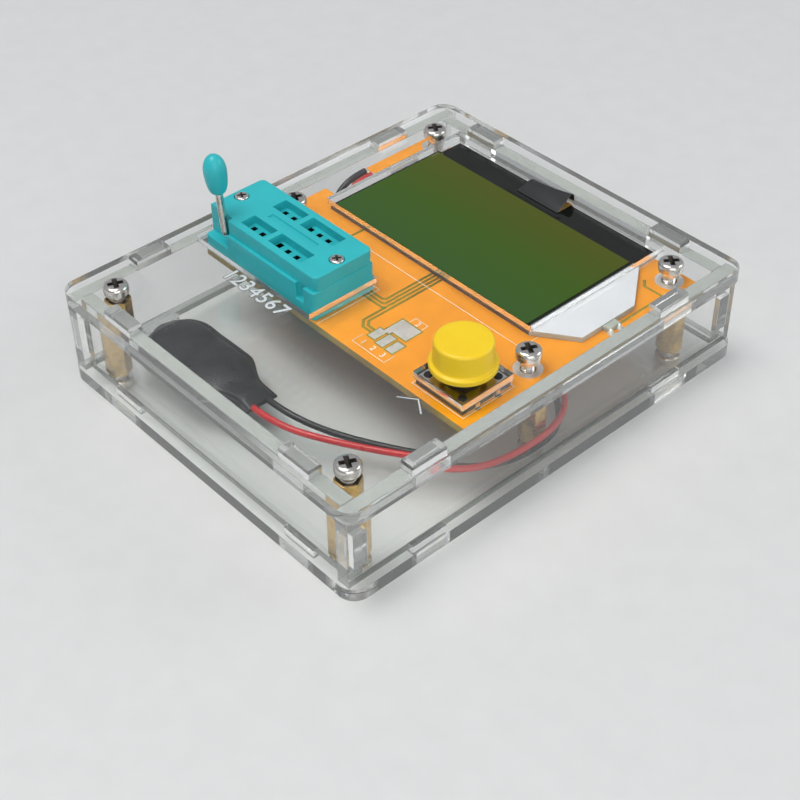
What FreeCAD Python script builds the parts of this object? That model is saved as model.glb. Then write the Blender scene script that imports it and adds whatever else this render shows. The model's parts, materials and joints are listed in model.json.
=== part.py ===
"""Component tester in a clear sheet case.

It has a lever test socket, a display, a push button and a battery lead.

Millimetres.  +X runs to the right along the short side, +Y towards the display's rear edge and +Z up.
The origin is under the middle of the case, on the table that the heads of the bottom screws stand on.
"""
import FreeCAD, Part
import Sketcher
import math
import os
import re
from dataclasses import dataclass
from FreeCAD import Placement, Rotation, Vector

SIZES = {
    # Case of interlocking sheet
    "plate_width": 83.0,
    "plate_length": 99.0,
    "plate_corner": 3.5,
    "sheet": 2.8,
    "case_height": 15.0,
    "side_overhang": 1.6,
    "end_overhang": 2.0,
    "wall_end_setback": 0.6,
    "tab_length": 7.8,
    "tab_proud": 0.6,
    "side_tab_y": 30.6,
    "end_tab_x": 25.2,
    "end_tab_height": 7.6,
    "sheet_fit": 0.05,
    # Screws and posts
    "screw_diameter": 2.5,
    "screw_hole": 2.9,
    "screw_length": 7.0,
    "board_screw_length": 10.0,
    "thread_fit": 0.02,
    "head_diameter": 4.9,
    "head_height": 2.0,
    "head_rim": 1.1,
    "head_crown": 0.6,
    "recess_arm": 2.5,
    "recess_width": 0.6,
    "recess_depth": 1.1,
    "post_flats": 4.5,
    "front_post_inset": 4.3,
    "front_post_setback": 2.5,
    "board_post_inset": 4.8,
    "middle_post_gap": 4.4,
    "rear_post_setback": 3.4,
    # Circuit board
    "board_gap_left": 1.2,
    "board_gap_right": 0.8,
    "board_gap_rear": 3.1,
    "board_length": 60.8,
    "board_drop": 1.4,
    "board_thickness": 1.6,
    "notch_depth": 4.9,
    "notch_setback": 24.0,
    "notch_width": 6.6,
    "notch_corner": 1.0,
    # Parts under the board
    "chip_x": 6.0,
    "chip_setback": 15.6,
    "chip_side": 7.0,
    "chip_height": 1.0,
    "chip_lead_pitch": 0.8,
    "chip_lead_width": 0.37,
    "chip_lead_length": 1.0,
    "chip_lead_height": 0.25,
    "crystal_x": -8.0,
    "crystal_setback": 14.6,
    "crystal_length": 10.6,
    "crystal_width": 4.5,
    "crystal_height": 3.4,
    "crystal_rim": 0.35,
    "regulator_x": -20.0,
    "regulator_setback": 15.6,
    "regulator_length": 4.5,
    "regulator_width": 2.5,
    "regulator_height": 1.5,
    "regulator_pitch": 1.5,
    "reference_x": 18.0,
    "reference_setback": 15.6,
    "transistor_x": -23.0,
    "transistor_setback": 9.6,
    "transistor_step": 5.0,
    "transistor_length": 2.9,
    "transistor_width": 1.3,
    "transistor_height": 1.0,
    "transistor_pitch": 0.95,
    "lead_width": 0.4,
    "lead_reach": 0.55,
    "lead_height": 0.15,
    "resistor_x": -2.0,
    "resistor_setback": 43.6,
    "resistor_step": 3.4,
    "resistor_height": 0.55,
    "capacitor_x": -2.0,
    "capacitor_setback": 22.0,
    "capacitor_step": 4.2,
    "capacitor_height": 0.9,
    "chip_part_length": 2.0,
    "chip_part_width": 1.25,
    # Display
    "screen_inset_left": 7.2,
    "screen_inset_right": 10.6,
    "screen_setback": 1.5,
    "screen_length": 36.7,
    "glass_gap_left": 1.0,
    "glass_gap_right": 1.2,
    "glass_gap_front": 0.4,
    "glass_gap_rear": 0.9,
    "glass_thickness": 0.8,
    "ledge_width": 6.3,
    "film_thickness": 0.2,
    "film_margin": 0.6,
    "guide_thickness": 1.2,
    "guide_margin": 0.6,
    "guide_wing_reach": 8.0,
    "guide_wing_start": 5.6,
    "guide_wing_width": 14.0,
    "guide_wing_root": 30.1,
    "lamp_length": 3.2,
    "lamp_depth": 1.5,
    "lamp_height": 1.0,
    "lamp_pin": 0.5,
    "lamp_pin_pitch": 1.8,
    "pin_reach": 1.6,
    "driver_length": 14.0,
    "driver_width": 1.0,
    "driver_height": 0.4,
    "driver_setback": 0.5,
    "flex_offset": 0.6,
    "flex_width": 11.0,
    "flex_thickness": 0.12,
    "flex_overlap": 3.6,
    "flex_bend": 0.45,
    "flex_tail": 4.5,
    "tape_width": 9.8,
    "tape_length": 4.6,
    "tape_thickness": 0.1,
    # Lever test socket
    "socket_overhang": 0.3,
    "socket_setback": 0.2,
    "socket_length": 32.6,
    "socket_width": 14.8,
    "socket_height": 7.6,
    "socket_corner": 0.8,
    "socket_gap": 0.3,
    "socket_gap_left": 1.1,
    "socket_gap_front": 1.45,
    "cover_inset": 0.1,
    "cover_ledge": 0.7,
    "cover_height": 3.1,
    "cover_corner": 1.2,
    "cover_edge": 0.3,
    "contact_inset": 17.8,
    "contact_setback": 7.7,
    "contact_pitch": 2.54,
    "row_spacing": 7.62,
    "pocket_margin": 1.2,
    "pocket_width": 3.4,
    "pocket_depth": 1.9,
    "divider_width": 1.2,
    "slot_width": 0.8,
    "slot_length": 1.8,
    "recess_length": 13.6,
    "recess_breadth": 1.3,
    "recess_sink": 0.4,
    "contact_thickness": 0.3,
    "contact_width": 1.6,
    "contact_tail": 0.6,
    "contact_hole": 0.9,
    "contact_fit": 0.1,
    "side_hole_inset": 4.1,
    "side_hole_width": 2.2,
    "side_hole_height": 3.4,
    "side_hole_depth": 1.0,
    "small_screw_spacing": 28.2,
    "small_screw_diameter": 1.6,
    "small_screw_length": 5.0,
    "small_head_diameter": 2.8,
    "small_head_height": 1.0,
    "small_head_rim": 0.6,
    "small_head_crown": 0.4,
    "small_recess_arm": 1.7,
    "small_recess_width": 0.4,
    "small_recess_depth": 0.6,
    "small_head_sink": 0.7,
    "small_head_fit": 0.1,
    # Lever, cam and slider
    "pivot_inset": 5.8,
    "pivot_drop": 0.8,
    "lever_setback": 0.7,
    "lever_diameter": 1.5,
    "lever_length": 15.4,
    "lever_bend": 1.1,
    "lever_lean": 6.4,
    "shaft_length": 8.4,
    "shaft_fit": 0.05,
    "lever_room": 0.35,
    "lever_platform": 2.2,
    "cam_offset": 1.1,
    "cam_radius": 0.85,
    "cam_width": 2.0,
    "cam_gap": 0.3,
    "cam_room": 0.2,
    "knob_diameter": 5.0,
    "knob_length": 8.0,
    "knob_start": 9.2,
    "knob_land": 0.15,
    "slider_thickness": 1.25,
    "slider_margin": 1.7,
    "slider_travel": 0.95,
    "slider_fit": 0.1,
    "slider_slot_back": 1.4,
    "slider_slot_front": 0.45,
    # Push button
    "switch_inset": 8.65,
    "switch_setback": 7.95,
    "switch_side": 11.8,
    "switch_height": 3.3,
    "switch_gap": 0.3,
    "switch_cover_thickness": 0.2,
    "switch_cover_side": 11.0,
    "rivet_diameter": 1.5,
    "rivet_inset": 1.6,
    "rivet_proud": 0.25,
    "rivet_fit": 0.05,
    "dome_diameter": 6.4,
    "dome_rise": 0.6,
    "dome_thickness": 0.12,
    "press_travel": 0.3,
    "press_gap": 0.06,
    "plunger_flange": 7.8,
    "plunger_flange_height": 0.8,
    "plunger_collar": 6.8,
    "plunger_collar_height": 1.0,
    "plunger_square": 3.8,
    "plunger_square_height": 4.1,
    "plunger_fit": 0.1,
    "leg_thickness": 0.3,
    "leg_width": 1.0,
    "leg_pitch": 5.0,
    "leg_rise": 1.2,
    "leg_hole": 1.3,
    "cap_flange": 12.4,
    "cap_flange_height": 1.1,
    "cap_diameter": 10.7,
    "cap_height": 5.8,
    "cap_lift": 1.4,
    "cap_edge": 0.8,
    "cap_wall": 1.2,
    "cap_boss": 6.2,
    "cap_roof": 2.4,
    "cap_fit": 0.03,
    # Battery clip and its lead
    "clip_inset": 3.6,
    "clip_setback": 11.4,
    "clip_length": 31.5,
    "clip_width": 14.0,
    "clip_tail_width": 7.4,
    "clip_taper": 19.0,
    "clip_thickness": 2.6,
    "clip_edge": 0.9,
    "clip_land": 0.1,
    "clip_rest": 0.05,
    "snap_height": 2.4,
    "snap_spacing": 12.7,
    "snap_inset": 12.5,
    "stud_base": 7.6,
    "stud_neck": 5.2,
    "stud_head": 5.7,
    "stud_flange": 0.5,
    "socket_ring": 8.4,
    "socket_ring_wall": 0.6,
    "lead_diameter": 1.3,
    "solder_radius": 1.1,
}

# Places that follow from the sizes, each a formula of the sheet
PLACES = {
    "side_inner": "plate_width / 2 - side_overhang - sheet",
    "end_inner": "plate_length / 2 - end_overhang - sheet",
    "board_left": "board_gap_left - side_inner",
    "board_right": "side_inner - board_gap_right",
    "board_rear": "end_inner - board_gap_rear",
    "board_front": "board_rear - board_length",
    "board_post_height": "case_height - board_drop - board_thickness",
    "notch_rear": "board_rear - notch_setback",
    "notch_front": "notch_rear - notch_width",
    "chip_y": "board_rear - chip_setback",
    "crystal_y": "board_rear - crystal_setback",
    "regulator_y": "board_rear - regulator_setback",
    "reference_y": "board_rear - reference_setback",
    "transistor_y": "board_rear - transistor_setback",
    "resistor_y": "board_rear - resistor_setback",
    "capacitor_y": "board_rear - capacitor_setback",
    "screen_left": "screen_inset_left - side_inner",
    "screen_right": "side_inner - screen_inset_right",
    "screen_rear": "end_inner - screen_setback",
    "screen_front": "screen_rear - screen_length",
    "glass_left": "screen_left + glass_gap_left",
    "glass_right": "screen_right - glass_gap_right",
    "glass_front": "screen_front + glass_gap_front",
    "glass_rear": "screen_rear - glass_gap_rear",
    "wing_front": "glass_front + guide_wing_start",
    "wing_rear": "wing_front + guide_wing_width",
    "wing_root": "glass_front + guide_wing_root",
    "flex_x": "(glass_left + glass_right) / 2 - flex_offset",
    "socket_left": "board_left - socket_overhang",
    "socket_right": "socket_left + socket_length",
    "socket_front": "board_front + socket_setback",
    "socket_rear": "socket_front + socket_width",
    "contact_x": "socket_left + contact_inset",
    "contact_y": "socket_front + contact_setback",
    "side_hole_x": "socket_right - side_hole_inset",
    "pivot_x": "socket_left + pivot_inset",
    "lever_y": "socket_front + lever_setback",
    "switch_x": "board_right - switch_inset",
    "switch_y": "board_front + switch_setback",
    "front_post_x": "side_inner - front_post_inset",
    "front_post_y": "front_post_setback - end_inner",
    "board_post_x": "side_inner - board_post_inset",
    "middle_post_y": "socket_rear + middle_post_gap",
    "rear_post_y": "board_rear - rear_post_setback",
    "clip_left": "clip_inset - side_inner",
    "clip_right": "clip_left + clip_length",
    "clip_y": "clip_setback - end_inner",
    "clip_taper_x": "clip_left + clip_taper",
    "snap_x": "clip_left + snap_inset",
}

TEST_POINTS = range(7)
CHIP_LEADS = range(8)
TRANSISTORS = range(3)
RESISTORS = range(6)
CAPACITORS = range(4)
BOTH_SIDES = (-1, 1)
NEAR = 1e-4
BEND_SHARE = 0.45
VOLUME_SHARE = 0.005

# Levels of the stack, upward from the table
FLOOR_LOW = "head_height"
FLOOR_TOP = f"({FLOOR_LOW} + sheet)"
LID_LOW = f"({FLOOR_TOP} + case_height)"
LID_TOP = f"({LID_LOW} + sheet)"
BOARD_LOW = f"({FLOOR_TOP} + board_post_height)"
BOARD_TOP = f"({BOARD_LOW} + board_thickness)"
GUIDE_TOP = f"({BOARD_TOP} + guide_thickness)"
REAR_GLASS_LOW = f"({GUIDE_TOP} + film_thickness)"
REAR_GLASS_TOP = f"({REAR_GLASS_LOW} + glass_thickness)"
FRONT_GLASS_TOP = f"({REAR_GLASS_TOP} + glass_thickness)"
SCREEN_TOP = f"({FRONT_GLASS_TOP} + film_thickness)"
BASE_TOP = f"({BOARD_TOP} + socket_height)"
COVER_TOP = f"({BASE_TOP} + cover_height)"
POCKET_FLOOR = f"({COVER_TOP} - pocket_depth)"
SLIDER_TOP = f"({BASE_TOP} - slider_fit)"
SLIDER_LOW = f"({SLIDER_TOP} - slider_thickness)"
RECESS_FLOOR = f"({SLIDER_LOW} - slider_fit)"
PIVOT_Z = f"({BASE_TOP} - pivot_drop)"
PLATFORM = f"({PIVOT_Z} - lever_platform)"
SWITCH_TOP = f"({BOARD_TOP} + switch_height)"
SWITCH_COVER_TOP = f"({SWITCH_TOP} + switch_cover_thickness)"
PLUNGER_LOW = f"({SWITCH_TOP} - press_gap - plunger_flange_height)"
DOME_TOP = f"({PLUNGER_LOW} - press_travel - press_gap)"
DOME_LOW = f"({DOME_TOP} - dome_rise)"
COLLAR_TOP = f"({SWITCH_COVER_TOP} + plunger_collar_height)"
SQUARE_TOP = f"({COLLAR_TOP} + plunger_square_height)"
CAP_LOW = f"({COLLAR_TOP} + cap_lift)"
CAP_TOP = f"({CAP_LOW} + cap_height)"
PIN_LOW = f"({BOARD_LOW} - pin_reach)"
CLIP_LOW = f"({FLOOR_TOP} + clip_rest + snap_height)"
CLIP_TOP = f"({CLIP_LOW} + clip_thickness)"

# Middle of the backlight lamp, at the tip of the light guide
LAMP_Y = "((wing_front + wing_rear) / 2)"

# Faces of the walls
SIDE_OUTER = "(plate_width / 2 - side_overhang)"
SIDE_END = "(plate_length / 2 - wall_end_setback)"
END_OUTER = "(plate_length / 2 - end_overhang)"
WALL_MIDDLE = f"(({FLOOR_TOP} + {LID_LOW}) / 2)"

# Ends of the slider, and the rear of the corner that the lever swings through
SLIDER_LEFT = "(pivot_x + cam_offset * sin(lever_lean * 1deg) + cam_radius + cam_gap)"
SLIDER_RIGHT = f"(contact_x + {TEST_POINTS[-1] / 2} * contact_pitch + slider_margin)"
LEVER_BAY = "(lever_y + lever_bend)"

DOC = FreeCAD.newDocument("component_tester")
SHEET = DOC.addObject("Spreadsheet::Sheet", "Sizes")
NODES = []


def fill_sheet():
    """Writes every driving dimension and every formula to the sheet, one named cell each."""
    cells = {name: str(number) for name, number in SIZES.items()}
    cells.update({name: f"={text}" for name, text in PLACES.items()})
    for row, name in enumerate(cells, start=1):
        SHEET.set(f"A{row}", name)
        SHEET.setAlias(f"B{row}", name)
    for row, content in enumerate(cells.values(), start=1):
        SHEET.set(f"B{row}", content)
    DOC.recompute()


def bound(text):
    """Expression in which each size name is read from the sheet."""
    return re.sub(r"\b[a-z]+_?[a-z_]*\b(?![(\w])", lambda word: f"Sizes.{word[0]}", text)


def value(text):
    """Number that an expression gives now."""
    return float(SHEET.evalExpression(bound(text)))


@dataclass
class Polygon:
    """Closed outline of straight sides through its corners."""

    points: list

    def draw(self, sketch):
        """Adds the sides to the sketch and ties each corner to its expressions."""
        first = sketch.GeometryCount
        count = len(self.points)
        corners = [Vector(value(x), value(y), 0) for x, y in self.points]
        sketch.addGeometry([Part.LineSegment(corners[i], corners[(i + 1) % count]) for i in range(count)])
        for i in range(count):
            sketch.addConstraint(Sketcher.Constraint("Coincident", first + i, 2, first + (i + 1) % count, 1))
        for i, (x, y) in enumerate(self.points):
            tie(sketch, "DistanceX", first + i, corners[i].x, x)
            tie(sketch, "DistanceY", first + i, corners[i].y, y)


@dataclass
class Circle:
    """Round outline with its centre and diameter."""

    x: str
    y: str
    diameter: str

    def draw(self, sketch):
        """Adds the circle to the sketch and ties its centre and diameter to their expressions."""
        index = sketch.GeometryCount
        middle = Vector(value(self.x), value(self.y), 0)
        sketch.addGeometry(Part.Circle(middle, Vector(0, 0, 1), value(self.diameter) / 2))
        size = sketch.addConstraint(Sketcher.Constraint("Diameter", index, value(self.diameter)))
        sketch.setExpression(f"Constraints[{size}]", bound(self.diameter))
        tie(sketch, "DistanceX", index, middle.x, self.x, 3)
        tie(sketch, "DistanceY", index, middle.y, self.y, 3)


def tie(sketch, kind, index, number, text, place=1):
    """Ties one coordinate of a point of the sketch to an expression."""
    row = sketch.addConstraint(Sketcher.Constraint(kind, -1, 1, index, place, number))
    sketch.setExpression(f"Constraints[{row}]", bound(text))


def rectangle(left, right, low, high):
    """Outline between two pairs of edges."""
    return Polygon([(left, low), (right, low), (right, high), (left, high)])


def around(x, y, width, length):
    """Rectangle about a centre."""
    return rectangle(f"{x} - {width} / 2", f"{x} + {width} / 2", f"{y} - {length} / 2", f"{y} + {length} / 2")


def cross(arm, width):
    """Outline of a cross about the origin."""
    corners = []
    for turn_x, turn_y in ((1, -1), (1, 1), (-1, 1), (-1, -1)):
        long_x = (f"{turn_x} * {arm} / 2", f"{turn_y} * {width} / 2")
        inner = (f"{turn_x} * {width} / 2", f"{turn_y} * {width} / 2")
        long_y = (f"{turn_x} * {width} / 2", f"{turn_y} * {arm} / 2")
        corners += [long_y, inner, long_x] if turn_x == -turn_y else [long_x, inner, long_y]
    return Polygon(corners)


def hexagon(flats, turned):
    """Hexagon about the origin, with two flats across Y, or across X when it is turned."""
    first = 30 if turned else 0
    reach = f"{flats} / sqrt(3)"
    angles = [first + 60 * i for i in range(6)]
    return Polygon([(f"{reach} * cos({a} * 1deg)", f"{reach} * sin({a} * 1deg)") for a in angles])


def new_body(label):
    """Empty body that takes sketches and features."""
    body = DOC.addObject("PartDesign::Body", label)
    body.Label = label
    return body


def new_sketch(body, plane, loops, level):
    """Sketch of closed outlines on a level along one of the body's planes."""
    sketch = body.newObject("Sketcher::SketchObject", f"{body.Label}_outline")
    support = next(item for item in body.Origin.OriginFeatures if item.Role == f"{plane}_Plane")
    sketch.AttachmentSupport = (support, [""])
    sketch.MapMode = "FlatFace"
    sketch.setExpression("AttachmentOffset.Base.z", bound(level))
    for loop in loops:
        loop.draw(sketch)
    return sketch


def pad(body, plane, loops, low, high):
    """Adds the solid between two levels across a plane."""
    level = f"-({high})" if plane == "XZ" else low
    feature = body.newObject("PartDesign::Pad", f"{body.Label}_pad")
    feature.Profile = new_sketch(body, plane, loops, level)
    feature.setExpression("Length", bound(f"({high}) - ({low})"))


def pocket(body, plane, loops, low, high):
    """Cuts the space between two levels across a plane, and confirms that it took material."""
    DOC.recompute()
    before = body.Shape.Volume
    level = f"-({low})" if plane == "XZ" else high
    feature = body.newObject("PartDesign::Pocket", f"{body.Label}_pocket")
    feature.Profile = new_sketch(body, plane, loops, level)
    feature.setExpression("Length", bound(f"({high}) - ({low})"))
    DOC.recompute()
    if body.Shape.Volume >= before:
        raise RuntimeError(f"a pocket of {body.Label} cut nothing")


def revolve(body, points):
    """Adds the solid of a profile turned about Z."""
    sketch = new_sketch(body, "XZ", [Polygon(points)], "0")
    feature = body.newObject("PartDesign::Revolution", f"{body.Label}_turning")
    feature.Profile = sketch
    feature.ReferenceAxis = (sketch, ["V_Axis"])
    feature.Angle = 360


def fillet(body, radius, picks):
    """Rounds the edges of the body so far that picks accepts."""
    DOC.recompute()
    base = body.Tip
    names = [f"Edge{i}" for i, edge in enumerate(base.Shape.Edges, start=1) if picks(edge)]
    feature = body.newObject("PartDesign::Fillet", f"{body.Label}_round")
    feature.Base = (base, names)
    feature.setExpression("Radius", bound(radius))


def upright_at(xs, ys):
    """Picks the vertical edges at the given X and Y places."""
    places = [(value(x), value(y)) for x in xs for y in ys]

    def picks(edge):
        middle = edge.CenterOfMass
        flat = abs(edge.Vertexes[0].Z - edge.Vertexes[-1].Z) < NEAR
        return not flat and any(math.hypot(middle.x - x, middle.y - y) < NEAR for x, y in places)

    return picks


def level_at(text, least_radius=0.0):
    """Picks the outer edges at a height, and of the round ones those over a radius."""
    height = value(text)

    def picks(edge):
        flat = all(abs(point.z - height) < NEAR for point in edge.discretize(3))
        return flat and getattr(edge.Curve, "Radius", math.inf) > least_radius

    return picks


def across_at(y, levels):
    """Picks the edges along X at a Y place and the given heights."""
    places = [(value(y), value(level)) for level in levels]

    def picks(edge):
        middle = edge.CenterOfMass
        return any(math.hypot(middle.y - at_y, middle.z - at_z) < NEAR for at_y, at_z in places)

    return picks


def node(item):
    """Keeps a finished sub-part for export."""
    NODES.append(item)
    return item


def block(label, x, y, z):
    """Plain block between two faces each way."""
    item = DOC.addObject("Part::Box", label)
    item.Label = label
    for side, axis, (low, high) in zip(("Length", "Width", "Height"), "xyz", (x, y, z)):
        item.setExpression(side, bound(f"({high}) - ({low})"))
        item.setExpression(f"Placement.Base.{axis}", bound(low))
    return item


def rod(label, x, y, low, high, diameter):
    """Upright round bar."""
    item = DOC.addObject("Part::Cylinder", label)
    item.Label = label
    item.setExpression("Radius", bound(f"{diameter} / 2"))
    item.setExpression("Height", bound(f"({high}) - ({low})"))
    for axis, text in zip("xyz", (x, y, low)):
        item.setExpression(f"Placement.Base.{axis}", bound(text))
    return item


def joined(label, pieces):
    """Pieces that meet, as one solid."""
    item = DOC.addObject("Part::MultiFuse", label)
    item.Label = label
    item.Shapes = pieces
    item.Refine = True
    return item


def group(label, master, places, flipped=False):
    """Separate copies of one piece, each moved to its place."""
    DOC.recompute()
    turn = Rotation(Vector(1, 0, 0), 180 if flipped else 0)
    copies = []
    for x, y, z in places:
        copy = master.Shape.copy()
        copy.Placement = Placement(Vector(value(x), value(y), value(z)), turn).multiply(copy.Placement)
        copies.append(copy)
    item = DOC.addObject("Part::Feature", label)
    item.Label = label
    item.Shape = Part.makeCompound(copies)
    return node(item)


def rounded_path(points):
    """Straight runs through the points, joined by arcs as large as the shorter run beside each allows."""
    edges, radii = [], []
    start = points[0]
    for before, corner, after in zip(points, points[1:], points[2:]):
        back, ahead = (before - corner).normalize(), (after - corner).normalize()
        half_turn = (math.pi - back.getAngle(ahead)) / 2
        trim = BEND_SHARE * min((before - corner).Length, (after - corner).Length)
        radius = trim / math.tan(half_turn)
        middle = (back + ahead).normalize()
        crown = corner + middle * (radius / math.cos(half_turn) - radius)
        entry, leave = corner + back * trim, corner + ahead * trim
        edges += [Part.LineSegment(start, entry).toShape(), Part.Arc(entry, crown, leave).toShape()]
        radii.append(radius)
        start = leave
    edges.append(Part.LineSegment(start, points[-1]).toShape())
    return Part.Wire(edges), radii


def tube(path, diameter):
    """Round bar along a path, compared with its section times its length."""
    start = path.Edges[0].Vertexes[0].Point
    along = path.Edges[0].Vertexes[1].Point - start
    ring = Part.Wire([Part.makeCircle(diameter / 2, start, along)])
    solid = path.makePipeShell([ring], True, False)
    expected = math.pi * diameter**2 / 4 * path.Length
    if abs(solid.Volume / expected - 1) > VOLUME_SHARE:
        raise RuntimeError("a tube's volume differs from its section times its length")
    return solid


def screw_places(posts):
    """Left and right place of each pair of posts."""
    return [(f"{side} * {x}", y) for x, y in posts for side in BOTH_SIDES]


FRONT_POSTS = screw_places([("front_post_x", "front_post_y")])
BOARD_POSTS = screw_places([("board_post_x", "middle_post_y"), ("board_post_x", "rear_post_y")])


def tab_slots():
    """Slots of a plate for the tabs of the four walls."""
    slots = []
    for side in BOTH_SIDES:
        for step in BOTH_SIDES:
            wall_x = f"({side} * ({SIDE_OUTER} - sheet / 2))"
            wall_y = f"({side} * ({END_OUTER} - sheet / 2))"
            across, along = "(sheet + 2 * sheet_fit)", "(tab_length + 2 * sheet_fit)"
            slots.append(around(wall_x, f"{step} * side_tab_y", across, along))
            slots.append(around(f"{step} * end_tab_x", wall_y, along, across))
    return slots


def plate_outline():
    """Outline of both plates."""
    return around("0", "0", "plate_width", "plate_length")


def plate_holes():
    """Screw holes of both plates."""
    return [Circle(x, y, "screw_hole") for x, y in FRONT_POSTS + BOARD_POSTS]


def plate(label, windows, low, high):
    """Flat plate with rounded corners, tab slots, screw holes and any windows."""
    body = new_body(label)
    pad(body, "XY", [plate_outline()] + tab_slots() + plate_holes() + windows, low, high)
    sides = ("plate_width / 2", "-plate_width / 2")
    ends = ("plate_length / 2", "-plate_length / 2")
    fillet(body, "plate_corner", upright_at(sides, ends))
    return node(body)


def plates():
    """Bottom plate, and top plate with windows for the display, the socket and the switch."""
    switch_window = "(switch_side + 2 * switch_gap)"
    windows = [
        rectangle("screen_left", "screen_right", "screen_front", "screen_rear"),
        rectangle("socket_left - socket_gap_left", "socket_right + socket_gap",
                  "socket_front - socket_gap_front", "socket_rear + socket_gap"),
        around("switch_x", "switch_y", switch_window, switch_window),
    ]
    plate("bottom_plate", [], FLOOR_LOW, FLOOR_TOP)
    plate("top_plate", windows, LID_LOW, LID_TOP)


def tabbed_outline(half_span, tab_place, end_tab):
    """Outline of a wall seen square on, with two tabs above, two below and any tab at each end."""
    above, below = f"{LID_TOP} + tab_proud", f"{FLOOR_LOW} - tab_proud"
    corners = []
    for level, reach, way in ((FLOOR_TOP, below, 1), (LID_LOW, above, -1)):
        corners.append((f"-{way} * {half_span}", level))
        for step in (-way, way):
            near = f"{step} * {tab_place} - {way} * tab_length / 2"
            far = f"{step} * {tab_place} + {way} * tab_length / 2"
            corners += [(near, level), (near, reach), (far, reach), (far, level)]
        corners.append((f"{way} * {half_span}", level))
        if end_tab:
            lower = f"{WALL_MIDDLE} - {way} * end_tab_height / 2"
            upper = f"{WALL_MIDDLE} + {way} * end_tab_height / 2"
            end, tip = f"{way} * {half_span}", f"{way} * {end_tab}"
            corners += [(end, lower), (tip, lower), (tip, upper), (end, upper)]
    return Polygon(corners)


def walls():
    """Side walls with mortises, and end walls whose end tabs pass through them."""
    mortises = [
        around(f"({way} * ({END_OUTER} - sheet / 2))", WALL_MIDDLE,
               "(sheet + 2 * sheet_fit)", "(end_tab_height + 2 * sheet_fit)")
        for way in BOTH_SIDES
    ]
    sides = (("left_wall", f"-{SIDE_OUTER}", "-side_inner"), ("right_wall", "side_inner", SIDE_OUTER))
    for label, low, high in sides:
        body = node(new_body(label))
        pad(body, "YZ", [tabbed_outline(SIDE_END, "side_tab_y", None)] + mortises, low, high)
    half_span = "(side_inner - sheet_fit)"
    ends = (("front_wall", f"-{END_OUTER}", "-end_inner"), ("rear_wall", "end_inner", END_OUTER))
    for label, low, high in ends:
        body = node(new_body(label))
        pad(body, "XZ", [tabbed_outline(half_span, "end_tab_x", SIDE_OUTER)], low, high)


def screw(label, length, diameter, head, height, rim, crown, arm, width, depth):
    """Pan-head screw whose head stands on the origin, with a crossed recess."""
    body = new_body(label)
    shank, edge = f"{diameter} / 2", f"{head} / 2"
    revolve(body, [("0", f"-{length}"), (shank, f"-{length}"), (shank, "0"), (edge, "0"), (edge, rim),
                   (f"{edge} - {crown}", height), ("0", height)])
    pocket(body, "XY", [cross(arm, width)], f"{height} - {depth}", height)
    return body


def case_screw(label, length):
    """Screw of the case."""
    return screw(label, length, "screw_diameter", "head_diameter", "head_height", "head_rim", "head_crown",
                 "recess_arm", "recess_width", "recess_depth")


def post(label, height, turned):
    """Threaded hexagon post standing on the origin."""
    body = new_body(label)
    bore = Circle("0", "0", "(screw_diameter + 2 * thread_fit)")
    pad(body, "XY", [hexagon("post_flats", turned), bore], "0", height)
    return body


def fasteners():
    """Posts between the plates or under the board, and the screws that enter them from above and below."""
    tall = post("corner_post", "case_height", False)
    low = post("board_post", "board_post_height", True)
    group("corner_posts", tall, [(x, y, FLOOR_TOP) for x, y in FRONT_POSTS])
    group("board_posts", low, [(x, y, FLOOR_TOP) for x, y in BOARD_POSTS])
    short = case_screw("short_screw", "screw_length")
    long = case_screw("long_screw", "board_screw_length")
    group("top_corner_screws", short, [(x, y, LID_TOP) for x, y in FRONT_POSTS])
    group("top_board_screws", long, [(x, y, LID_TOP) for x, y in BOARD_POSTS])
    group("bottom_screws", short, [(x, y, FLOOR_LOW) for x, y in FRONT_POSTS + BOARD_POSTS], flipped=True)


def contact_places():
    """X place of each test point along a row."""
    return [f"(contact_x + {i - TEST_POINTS[-1] / 2} * contact_pitch)" for i in TEST_POINTS]


def row_places():
    """Y place of the front and rear rows of test points."""
    return [f"(contact_y + {side} * row_spacing / 2)" for side in BOTH_SIDES]


def leg_places():
    """X, at the middle of the metal, and Y of the four legs of the switch."""
    reach = "(switch_side / 2 + leg_thickness / 2)"
    return [(f"(switch_x + {side} * {reach})", f"(switch_y + {step} * leg_pitch / 2)")
            for side in BOTH_SIDES for step in BOTH_SIDES]


def lamp_pins():
    """Places of the two pins of the backlight lamp."""
    x = "(glass_right + guide_margin + guide_wing_reach + lamp_depth / 2)"
    return [(x, f"({LAMP_Y} + {side} * lamp_pin_pitch / 2)") for side in BOTH_SIDES]


def circuit_board():
    """Board with a notch in its left edge for the lead, screw holes and holes for pins."""
    body = node(new_body("circuit_board"))
    inner = "(board_left + notch_depth)"
    outline = Polygon([
        ("board_left", "board_front"), ("board_right", "board_front"), ("board_right", "board_rear"),
        ("board_left", "board_rear"), ("board_left", "notch_rear"), (inner, "notch_rear"),
        (inner, "notch_front"), ("board_left", "notch_front"),
    ])
    holes = [Circle(x, y, "screw_hole") for x, y in BOARD_POSTS]
    holes += [Circle(x, y, "contact_hole") for y in row_places() for x in contact_places()]
    holes += [Circle(x, y, "leg_hole") for x, y in leg_places()]
    holes += [Circle(x, y, "(lamp_pin + 2 * contact_fit)") for x, y in lamp_pins()]
    pad(body, "XY", [outline] + holes, BOARD_LOW, BOARD_TOP)
    fillet(body, "notch_corner", upright_at([inner], ["notch_front", "notch_rear"]))


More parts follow.
